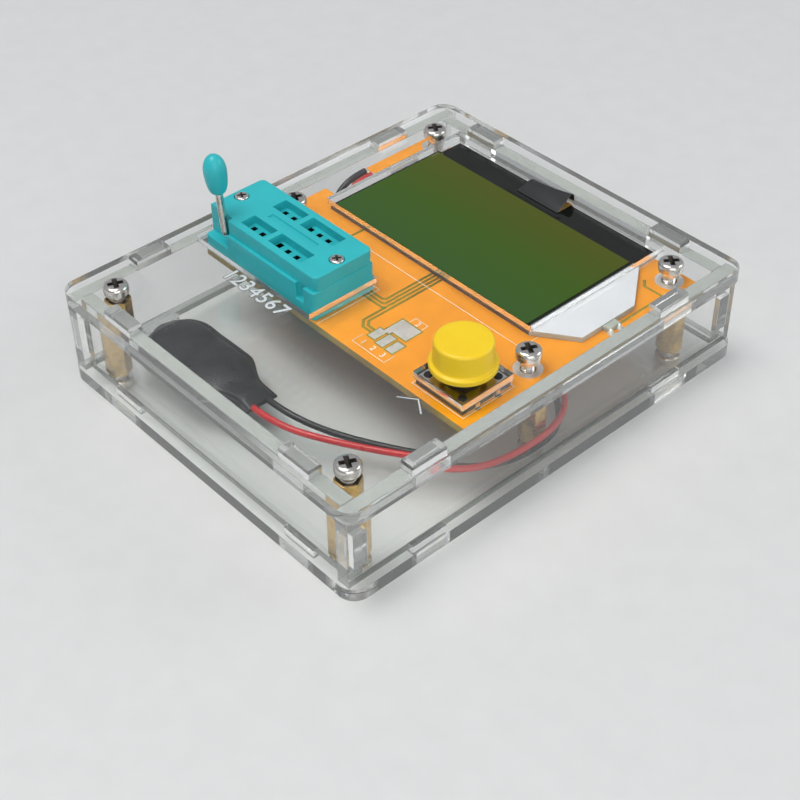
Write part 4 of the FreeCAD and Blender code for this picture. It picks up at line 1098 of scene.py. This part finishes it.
@dataclass
class CircuitBoard:
    """Board with its traces, ink and pads, and the parts under it."""

    top: float = 18.4
    low: float = 16.8
    edge: float = 0.06
    copper: float = 0.03
    ink: float = 0.045
    trace_width: float = 0.6
    traces: Sequence[Line] = (
        ((-4.0, -5.2), (-0.3, -5.2), (0.2, -4.7), (0.2, 8.0)),
        ((-4.0, -6.1), (0.6, -6.1), (1.1, -5.6), (1.1, 8.0)),
        ((-4.0, -7.0), (1.5, -7.0), (2.0, -6.5), (2.0, 8.0)),
        ((2.9, 8.0), (2.9, -11.4), (3.9, -12.4), (6.6, -12.4)),
        ((2.0, -6.5), (2.0, -11.9), (3.4, -13.3), (6.6, -13.3)),
        ((29.0, 34.9), (30.4, 33.5), (34.7, 33.5), (34.7, 20.6)),
        ((-26.0, 2.2), (-20.5, 2.2), (-19.6, 3.1), (-19.6, 8.0)))
    silk_width: float = 0.16
    silk: Sequence[Line] = (
        ((-33.5, 3.4), (27.3, 3.4), (27.3, 9.0)),
        ((-2.9, -18.9), (-2.9, -3.7), (-30.0, -3.7)),
        ((21.2, -17.5), (34.1, -17.5), (34.1, -5.0), (21.2, -5.0), (21.2, -17.5)),
        ((5.1, -14.8), (5.1, -17.4), (13.7, -17.4), (13.7, -14.8)),
        ((8.3, -6.2), (8.3, -4.6), (11.5, -4.6), (11.5, -6.2)))
    numbers: Sequence[tuple[str, float, float]] = (
        ("1", 6.8, -16.2), ("2", 9.4, -16.2), ("3", 12.0, -16.2), ("2", 9.9, -5.6))
    number_height: float = 1.3
    pads: Sequence[tuple[Pair, Pair]] = (
        ((6.9, -10.5), (11.9, -6.6)), ((5.9, -14.3), (7.7, -11.3)), ((8.5, -14.7), (10.3, -11.3)),
        ((11.1, -14.7), (12.9, -11.6)), ((6.9, -11.3), (8.3, -10.5)))
    pad_margin: float = 0.3
    pad_round: float = 0.6
    holes: Line = ((-32.3, 0.2), (32.3, 0.2), (-32.3, 38.2), (32.3, 38.2))
    ring_inner: float = 1.52
    ring_outer: float = 2.75
    ring_rise: float = 0.05
    lamp_pins: Line = ((35.45, 18.3), (35.45, 20.7))
    # Pins of the socket, the switch and the lamp.
    pins: Line = (*CONTACTS, (21.6, -13.75), (21.6, -8.75), (33.7, -13.75), (33.7, -8.75), (34.65, 18.6),
                  (34.65, 20.4))
    cone: Line = ((0, 0), (0.95, 0), (0.62, -0.18), (0.42, -0.5), (0.32, -0.95), (0.2, -1.2), (0, -1.3))
    bead: Line = ((0, 0), (0.75, 0), (0.68, 0.2), (0.5, 0.45), (0.25, 0.85), (0, 0.95))
    lead_height: float = 0.2
    chip_edge: float = 0.05
    row_edge: float = 0.06
    can_edge: float = 0.12

    def pad(self, corners: tuple[Pair, Pair], margin: float, rise: float) -> Piece:
        """Flat pad on the board with softened corners.

        Args:
            corners: Its left front and right rear corner.
            margin: Added width on each side.
            rise: Its thickness.

        Returns:
            The mesh object.
        """
        (left, front), (right, rear) = corners
        obj = block((left - margin, front - margin, self.top),
                    (right + margin, rear + margin, self.top + rise))
        round_edges(obj, rise * self.pad_round, segments=1)
        return obj

    def surface(self) -> None:
        """Board with masked faces and bare edges, its traces, pads, rings and ink."""
        softened("circuit_board", "board_sheet", self.edge, [MASK, LAMINATE], [sides(2, 0.5)],
                 angle=25, segments=1)
        covered = [ribbon(self.traces, self.trace_width, self.top, self.copper)]
        covered += [self.pad(pad, self.pad_margin, self.copper) for pad in self.pads]
        keep(joined(covered), "board_traces", [TRACE])
        bare = [self.pad(pad, 0.0, 2 * self.copper) for pad in self.pads]
        inner, outer = self.ring_inner, self.ring_outer
        for low, high in ((self.top, self.top + self.ring_rise), (self.low, self.low - self.ring_rise)):
            ring = ((inner, low), (inner, high), (outer, high), (outer, low), (inner, low))
            bare.append(row_of(ring, [at(x, y) for x, y in self.holes], steps=40))
        keep(joined(bare), "board_pads", [TIN])
        marks = [ribbon(self.silk, self.silk_width, self.top, self.ink)]
        marks += [lettering(text, (x, y, self.top), self.number_height, self.ink)
                  for text, x, y in self.numbers]
        keep(joined(marks), "board_ink", [SILK])

    def solder(self) -> None:
        """Hollow-sided cones of solder where pins come through the underside, and beads at the lamp."""
        for name, profile, level, pins in (("pin_solder", self.cone, self.low, self.pins),
                                           ("lamp_solder", self.bead, self.top, self.lamp_pins)):
            obj = row_of(profile, [at(x, y, level) for x, y in pins], steps=20)
            smooth(obj, angle=60)
            keep(obj, name, [TIN])

    def part(self, node: str, name: str, width: float, finish: Finish, tinned: FaceTest) -> None:
        """Copies one kind of small part and tins its leads.

        Args:
            node: CAD node.
            name: Name of the piece.
            width: Width of its edges.
            finish: Finish of its body.
            tinned: Test for the faces of its leads.
        """
        obj = node_copy(node)
        mark_faces(obj, 1, tinned)
        round_edges(obj, width, segments=1)
        keep(obj, name, [finish, TIN], [node])

    def parts(self) -> None:
        """Chips, crystal and small parts hanging under the board."""
        for node in ("microcontroller", "voltage_regulator", "voltage_reference", "switching_transistors"):
            self.part(node, f"{node}_case", self.chip_edge, PACKAGE,
                      lambda centre, normal: centre.z > (self.low - self.lead_height) * MM)
        for node, finish in (("test_resistors", PACKAGE), ("chip_capacitors", CERAMIC)):
            self.part(node, f"{node}_row", self.row_edge, finish,
                      lambda centre, normal: abs(normal.x) > 0.9)
        softened("crystal", "crystal_can_shell", self.can_edge, [CAN])

    def build(self) -> None:
        """Makes the board's faces, solder and parts."""
        self.surface()
        self.solder()
        self.parts()


@dataclass
class Display:
    """Glass display on its light guide, with a curled tape over its ribbon."""

    guide_edge: float = 0.12
    lamp_edge: float = 0.1
    glass_edge: float = 0.08
    film_edge: float = 0.05
    flex_edge: float = 0.02
    tape_left: float = -8.1
    tape_right: float = 3.3
    tape_profile: Line = (
        (38.1, 0.0), (38.7, 0.04), (39.5, 0.22), (40.4, 0.50), (41.2, 0.80), (41.9, 0.98), (42.4, 1.0),
        (42.75, 0.86), (42.95, 0.55), (43.0, 0.2))
    tape_level: float = 20.70
    tape_low_rise: float = 0.7
    tape_high_rise: float = 2.6
    tape_curve: float = 1.6
    tape_thick: float = 0.1
    tape_columns: int = 18

    def tape(self) -> None:
        """Tape stuck down at its front edge, which rises in an arch over the ribbon towards the right."""
        rows = len(self.tape_profile) - 1
        deselect()
        bpy.ops.mesh.primitive_grid_add(x_subdivisions=self.tape_columns, y_subdivisions=rows, size=1.0)
        obj = bpy.context.object
        for vertex in obj.data.vertices:
            across = vertex.co.x + 0.5
            y, share = self.tape_profile[round((vertex.co.y + 0.5) * rows)]
            rise = self.tape_low_rise + (self.tape_high_rise - self.tape_low_rise) * across ** self.tape_curve
            x = self.tape_left + (self.tape_right - self.tape_left) * across
            vertex.co = Vector((x, y, self.tape_level + rise * share)) * MM
        modify(obj, "SOLIDIFY", thickness=self.tape_thick * MM, offset=1.0)
        modify(obj, "SUBSURF", levels=1, render_levels=1)
        smooth(obj, angle=60)
        keep(obj, "curled_tape", [TAPE], ["lcd_tape"])

    def build(self) -> None:
        """Makes the guide, lamp, glasses, films, driver, ribbon and tape."""
        # The second test picks the front faces of the light guide for its painted shade.
        tests = [sides(2), lambda centre, normal: normal.y < -0.95]
        for node, name, width, finishes, slot in (
                ("light_guide", "guide_sheet", self.guide_edge, [GUIDE, GUIDE_SIDE, GUIDE_PAINTED_SHADE],
                 "light_guide"),
                ("backlight_led", "lamp_block", self.lamp_edge, [LAMP], "light_guide"),
                ("lcd_rear_glass", "rear_glass", self.glass_edge, [GLASS, GLASS_RIM], "display_glass"),
                ("lcd_front_glass", "front_glass", self.glass_edge, [GLASS, GLASS_RIM], "display_glass"),
                ("lcd_front_polariser", "front_film", self.film_edge, [SCREEN], "display_film"),
                ("lcd_driver_chip", "driver_chip", self.film_edge, [GLASS], "black_package"),
                ("lcd_flex", "flex_ribbon", self.flex_edge, [FLEX], "flex")):
            softened(node, name, width, finishes, tests[:len(finishes) - 1])
        dress("lcd_rear_polariser", SCREEN)
        self.tape()


@dataclass
class TestSocket:
    """Moulded socket with its cover, screws, contacts and slider."""

    base_edge: float = 0.22
    cover_edge: float = 0.12
    screw_places: Line = ((-34.0, -11.3), (-5.8, -11.3))
    screw_length: float = 5.0
    screw_turn: float = 0.5
    seat: float = 28.4
    slot: Pair = (1.15, 2.0)
    slot_low: float = 22.5
    slot_high: float = 27.6
    shade_top: float = 27.1
    shade_margin: float = 0.02
    screw: Fasteners = field(default_factory=lambda: Fasteners(
        head=2.8, height=1.0, shank=1.6, pitch=0.35, recess=2.1, recess_width=0.5, recess_depth=0.6))

    def in_painted_slot_shade(self, point: Vector) -> bool:
        """Whether a point lies in a slot, below the floor of the pockets, where the walls get painted shade.

        Args:
            point: Place in millimetres.

        Returns:
            True in a slot.
        """
        wide, long = (size / 2 + self.shade_margin for size in self.slot)
        return point.z < self.shade_top and any(
            abs(point.x - x) < wide and abs(point.y - y) < long for x, y in CONTACTS)

    def open_slots(self, obj: Piece) -> None:
        """Opens a slot over each contact, down to the slider.

        Args:
            obj: Moulding to cut.
        """
        wide, long = (size / 2 for size in self.slot)
        cut(obj, joined([block((x - wide, y - long, self.slot_low), (x + wide, y + long, self.slot_high))
                         for x, y in CONTACTS]))

    def build(self) -> None:
        """Makes the two mouldings with their slot walls coloured near black as painted shade, and the screws,
        and dresses the contacts, and the slider in the same near-black painted shade.
        """
        for node, width in (("socket_base", self.base_edge), ("socket_cover", self.cover_edge)):
            obj = node_copy(node)
            self.open_slots(obj)
            round_edges(obj, width, segments=3)
            # Painted shade on the slot walls below the pocket floor.
            mark_faces(obj, 1, lambda centre, normal: self.in_painted_slot_shade(centre / MM))
            smooth(obj, angle=40)
            keep(obj, f"{node}_moulding", [TEAL, PAINTED_SLOT_SHADE], [node])
        master = self.screw.screw(self.screw_length)
        places = [at(x, y, self.seat) @ Matrix.Rotation(self.screw_turn + x, 4, "Z")
                  for x, y in self.screw_places]
        keep(stamped(master, places), "socket_screw_set", [NICKEL, RECESS_SHADE], ["socket_screws"])
        discard(master)
        for node in ("front_contacts", "rear_contacts"):
            dress(node, SPRING)
        # The slider is coloured near black as painted shade seen down the slots.
        dress("socket_slider", PAINTED_SLOT_SHADE)


@dataclass
class Lever:
    """Bent wire lever and its round-ended knob."""

    pivot: Place = (-30.4, -18.3, 25.2)
    lean: float = 6.4
    start: float = 9.2
    length: float = 8.0
    radius: float = 2.25
    crown: float = 3.3
    bore: float = 0.75
    lip: float = 0.3
    gap: float = 0.02
    dimple: Line = ((0.26, 0.05), (0, 0.06))

    def build(self) -> None:
        """Makes the wire and the knob on the lever's own axis."""
        softened("lever_wire", "lever_wire_bar", 0, [STEEL], body=Body.LEVER, angle=45)
        low, high = self.start, self.start + self.length
        widest, neck = high - self.crown, self.bore + self.lip
        profile = [(0, low + self.lip), (self.bore, low + self.lip), (self.bore + self.gap, low + self.gap),
                   (neck, low)]
        profile += arc((neck, widest), (self.radius - neck, widest - low), -80, 0, 9)
        profile += arc((0, widest), (self.radius, self.crown), 10, 80, 8)
        profile += [(radius, high - depth) for radius, depth in self.dimple]
        knob = turned(profile, steps=56)
        knob.matrix_world = at(*self.pivot) @ Matrix.Rotation(math.radians(self.lean), 4, Vector((0, -1, 0)))
        apply_place(knob)
        smooth(knob, angle=60)
        keep(knob, "lever_knob_grip", [TEAL], ["lever_knob"], Body.LEVER)


@dataclass
class PushButton:
    """Switch with a metal cover, and its plunger and cap."""

    x: float = 27.65
    y: float = -11.25
    housing_edge: float = 0.12
    cover_edge: float = 0.05
    plunger_edge: float = 0.15
    cap_low: float = 24.3
    cap_top: float = 30.1
    hollow_inner: float = 3.1
    hollow_outer: float = 4.15
    hollow_top: float = 27.7
    rim_step: float = 0.1
    rim: float = 4.3
    flange: float = 6.2
    flange_low_round: float = 0.25
    flange_high_round: float = 0.3
    flange_round_level: float = 0.85
    side: float = 5.42
    fillet: Line = ((0.28, 1.2), (0.1, 1.34), (0, 1.6))
    draft: float = 0.05
    top_round: float = 0.6
    dish: Line = ((3.6, 0.005), (2.0, 0.02), (0, 0.03))

    def outline(self) -> list[Pair]:
        """Profile of the cap: hollow, flange, fillet, side and dished top."""
        low, step = self.cap_low, self.cap_low + self.rim_step
        inner, outer, ceiling = self.hollow_inner, self.hollow_outer, self.hollow_top
        under, over, edge = self.flange_low_round, self.flange_high_round, self.top_round
        profile = [(0, step), (inner, step), (inner, ceiling), (outer, ceiling), (outer, step),
                   (self.rim, low)]
        profile += arc((self.flange - under, low + under), (under, under), -90, 0, 5)
        profile += arc((self.flange - over, low + self.flange_round_level), (over, over), 0, 80, 5)
        profile += [(self.side + out, low + rise) for out, rise in self.fillet]
        profile += arc((self.side - self.draft - edge, self.cap_top - edge), (edge, edge), 4, 86, 8)
        return profile + [(radius, self.cap_top - depth) for radius, depth in self.dish]

    def build(self) -> None:
        """Makes the switch and the cap."""
        for node, finish, width, body, slot in (
                ("switch_housing", SWITCH_BLACK, self.housing_edge, Body.CASE, "black_package"),
                ("switch_cover", NICKEL, self.cover_edge, Body.CASE, "metal_can"),
                ("switch_plunger", SWITCH_BLACK, self.plunger_edge, Body.BUTTON, "black_package")):
            softened(node, f"{node}_body", width, [finish], body=body)
        dress("switch_dome", STEEL)
        dress("switch_legs", NICKEL)
        cap = turned(self.outline(), steps=72)
        cap.matrix_world = at(self.x, self.y)
        apply_place(cap)
        smooth(cap, angle=50)
        keep(cap, "button_cap_moulding", [YELLOW], ["button_cap"], Body.BUTTON)


@dataclass
class BatteryLead:
    """Soft clip with its snaps, and the red and black leads to the board."""

    # Outline of the clip.
    left: float = -33.5
    right: float = -2.0
    middle: float = -33.3
    half: float = 7.0
    tail: float = 3.7
    taper: float = -14.5
    waist: float = 1.1
    # Shape of its upper face.
    low: float = 7.25
    thick: float = 2.55
    fullness: float = 0.73
    rim_drop: float = 0.5
    # Share of the height at each end, and the length over which it would gain the whole height.
    round_end: Pair = (0.55, 5.0)
    tail_end: Pair = (0.62, 9.0)
    snaps: Pair = (-27.35, -14.65)
    snap_edge: float = 0.08
    hump: float = 0.27
    hump_spread: float = 17.0
    # Depth, place along the clip, slant and spread of each crease.
    creases: Sequence[tuple[float, float, float, float]] = ((0.10, -21.0, 0.3, 2.5), (0.10, -9.0, -0.2, 3.0))
    seam_depth: float = 0.16
    seam_place: float = 0.84
    seam_width: float = 0.05
    # Its mesh and its lower edge.
    grid_along: int = 60
    grid_across: int = 48
    inset: float = 0.02
    least_half: float = 0.4
    skirt: float = 0.2
    skirt_taper: Place = (0.985, 0.97, 0)
    skirt_middle: float = -17.7
    # The leads, from the board to the clip.
    diameter: float = 1.3
    red: Sequence[Place] = (
        (-32.4, 20.4, 19.1), (-32.4, 15.6, 19.1), (-32.6, 12.2, 15.2), (-31.8, 7.8, 10.2), (-26.4, 7.4, 7.6),
        (-17.0, 12.2, 7.2), (-4.0, 16.0, 7.4), (10.0, 17.0, 7.4), (22.6, 15.4, 7.2), (31.8, 10.4, 7.4),
        (35.8, 2.8, 7.6), (36.0, -7.2, 7.6), (33.4, -16.6, 7.4), (25.0, -23.2, 7.4), (14.2, -30.2, 7.6),
        (4.6, -35.4, 8.4), (-2.0, -35.4, 8.4))
    black: Sequence[Place] = (
        (-34.4, 20.4, 19.1), (-34.4, 15.6, 19.1), (-34.7, 11.8, 15.0), (-33.8, 6.0, 9.4), (-27.8, 4.9, 6.2),
        (-17.6, 9.2, 5.6), (-4.6, 13.2, 5.7), (9.6, 14.6, 5.6), (21.8, 13.6, 5.7), (30.4, 10.0, 5.6),
        (35.4, 3.6, 5.6), (35.8, -5.8, 5.6), (32.0, -14.4, 5.6), (23.6, -20.8, 5.7), (12.6, -27.6, 6.4),
        (3.8, -32.0, 8.4), (-2.0, -32.0, 8.4))

    def half_width(self, x: float) -> float:
        """Half width of the clip's outline.

        Args:
            x: Place along the clip.

        Returns:
            The half width, round at the left and drawn in towards the leads.
        """
        if x < self.left + self.half:
            return math.sqrt(max(0.0, self.half ** 2 - (self.left + self.half - x) ** 2))
        if x < self.taper:
            return self.half
        share = (x - self.taper) / (self.right - self.taper)
        eased = share * share * (3 - 2 * share)
        return self.half + (self.tail - self.half) * eased - self.waist * math.sin(math.pi * share) ** 2

    def crown(self, x: float, share: float) -> float:
        """Height of the clip's upper face, as a share of its thickness.

        Args:
            x: Place along the clip.
            share: Place across it, from -1 to 1.

        Returns:
            The height, fuller over each snap and lower along the creases and the seam.
        """
        y = share * self.half
        rim = 1 - self.rim_drop * abs(share) ** 4
        end = min(1.0, self.round_end[0] + (x - self.left) / self.round_end[1],
                  self.tail_end[0] + (self.right - x) / self.tail_end[1])
        humps = sum(self.hump * math.exp(-((x - snap) ** 2 + y ** 2) / self.hump_spread)
                    for snap in self.snaps)
        creases = sum(depth * math.exp(-((x - place + slant * y) ** 2) / spread)
                      for depth, place, slant, spread in self.creases)
        seam = self.seam_depth * math.exp(-((abs(share) - self.seam_place) / self.seam_width) ** 2)
        return min(1.0, rim * end * (self.fullness + humps - creases - seam))

    def pad(self) -> Piece:
        """Crowned soft pad, flat below, over the two snaps."""
        deselect()
        bpy.ops.mesh.primitive_grid_add(x_subdivisions=self.grid_along, y_subdivisions=self.grid_across,
                                        size=1.0)
        obj = bpy.context.object
        start = self.left + self.inset
        for vertex in obj.data.vertices:
            along = vertex.co.x + 0.5
            if vertex.co.x < 0:
                along = 0.5 - 0.5 * math.cos(math.pi * along)
            x = start + (self.right - start) * along
            share = 2 * vertex.co.y
            y = self.middle + share * max(self.least_half, self.half_width(x))
            vertex.co = Vector((x, y, self.low + self.thick * self.crown(x, share))) * MM
        edit(obj)
        bpy.ops.mesh.extrude_region_move(TRANSFORM_OT_translate={"value": (0, 0, -self.skirt * MM)})
        bpy.ops.transform.resize(value=self.skirt_taper,
                                 center_override=Vector((self.skirt_middle, self.middle, self.low)) * MM)
        done()
        clean(obj)
        modify(obj, "SUBSURF", levels=1, render_levels=1)
        smooth(obj, angle=60)
        keep(obj, "clip_cover", [VINYL], ["clip_pad"])
        return obj

    def lead(self, name: str, node: str, route: Sequence[Place], finish: Finish) -> Piece:
        """One lead along its route, from the board to the clip.

        Args:
            name: Name of the piece.
            node: CAD node that it stands for.
            route: Points of the route in millimetres.
            finish: Insulation.

        Returns:
            The curve object.
        """
        return keep(tube(name, [route], self.diameter, 4, "NURBS"), name, [finish], [node])

    def build(self) -> None:
        """Makes the pad, the solder at the board, the snaps and the two leads."""
        pad = self.pad()
        blobs = softened("lead_solder", "lead_solder_blobs", 0, [TIN], angle=60)
        stud, ring = (softened(node, f"{node}_metal", self.snap_edge, [NICKEL])
                      for node in ("snap_stud", "snap_ring"))
        red = self.lead("red_lead", "red_wire", self.red, RED_PVC)
        black = self.lead("black_lead", "black_wire", self.black, BLACK_PVC)


@dataclass
class Studio:
    """Pale floor, soft lamps and the camera at the photograph's angle."""

    # The floor, the lamps and the camera's distance are in metres.
    floor_radius: float = 3.0
    floor_rim: float = 0.4
    lamp_aim: Place = (0, 0, 0.015)
    sky: Colour = (0.92, 0.95, 1.0)
    sky_strength: float = 0.36
    azimuth: float = 48.258
    elevation: float = 40.905
    roll: float = -0.72
    distance: float = 0.275
    target: Place = (25.615, -24.268, 22.6)
    focal_pixels: float = 1613.05
    frame_pixels: float = 800.0
    sensor: float = 36.0
    nearest: float = 0.01

    def floor(self) -> None:
        """Large round floor with a ring of faces along its rim."""
        deselect()
        bpy.ops.mesh.primitive_circle_add(vertices=96, radius=self.floor_radius, fill_type="NGON")
        obj = bpy.context.object
        edit(obj)
        bpy.ops.mesh.inset(thickness=self.floor_rim)
        done()
        obj.name = "floor"
        obj.data.materials.append(FLOOR.material())
        obj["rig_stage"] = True

    def lamp(self, name: str, place: Place, size: float, watts: float, colour: Colour) -> None:
        """Square soft lamp aimed at the case.

        Args:
            name: Name of the lamp.
            place: Place in metres.
            size: Side in metres.
            watts: Power.
            colour: Tint.
        """
        deselect()
        bpy.ops.object.light_add(type="AREA", location=place)
        obj = bpy.context.object
        obj.name = name
        obj.data.size = size
        obj.data.energy = watts
        obj.data.color = colour
        aim = Vector(self.lamp_aim) - Vector(place)
        obj.rotation_euler = aim.to_track_quat("-Z", "Y").to_euler()

    def world(self) -> None:
        """Even pale surroundings."""
        world = bpy.data.worlds.new("studio")
        world.use_nodes = True
        background = world.node_tree.nodes["Background"]
        background.inputs["Color"].default_value = (*self.sky, 1)
        background.inputs["Strength"].default_value = self.sky_strength
        bpy.context.scene.world = world

    def camera(self) -> None:
        """Camera with the photograph's angle and frame."""
        across, up = math.radians(self.azimuth), math.radians(self.elevation)
        target = Vector(self.target) * MM
        away = Vector((math.cos(up) * math.sin(across), -math.cos(up) * math.cos(across), math.sin(up)))
        deselect()
        bpy.ops.object.camera_add(location=target + away * self.distance)
        obj = bpy.context.object
        obj.rotation_mode = "QUATERNION"
        look = (-away).to_track_quat("-Z", "Y").to_matrix().to_4x4()
        turn = look @ Matrix.Rotation(math.radians(self.roll), 4, "Z")
        obj.rotation_quaternion = turn.to_quaternion()
        obj.data.sensor_width = self.sensor
        obj.data.sensor_fit = "HORIZONTAL"
        obj.data.lens = self.focal_pixels / self.frame_pixels * self.sensor
        obj.data.clip_start = self.nearest
        bpy.context.scene.camera = obj

    def build(self) -> None:
        """Sets the floor, lamps, surroundings and camera."""
        self.floor()
        self.lamp("key", (-0.16, -0.20, 0.85), size=0.45, watts=3.9, colour=(1.0, 0.98, 0.95))
        self.lamp("fill", (0.55, -0.30, 0.36), size=0.6, watts=1.5, colour=(1.0, 0.98, 0.96))
        self.lamp("rim", (0.40, 0.55, 0.40), size=0.35, watts=0.9, colour=(1.0, 1.0, 1.0))
        self.world()
        self.camera()
        bpy.context.scene.view_settings.view_transform = "Standard"


def corners() -> list[list[float]]:
    """Lowest and highest corner of what is shown now."""
    return [[float(number) for number in corner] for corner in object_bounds()]


def main() -> None:
    """Builds each sub-assembly in order."""
    logging.basicConfig(level=logging.INFO, format="%(message)s")
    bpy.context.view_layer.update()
    for assembly in (Studio(), BatteryLead(), CaseShell(), Fasteners(), CircuitBoard(), Display(),
                     TestSocket(), Lever(), PushButton()):
        log.info("building %s", type(assembly).__name__)
        assembly.build()
    deselect()


if __name__ == "__main__":
    main()
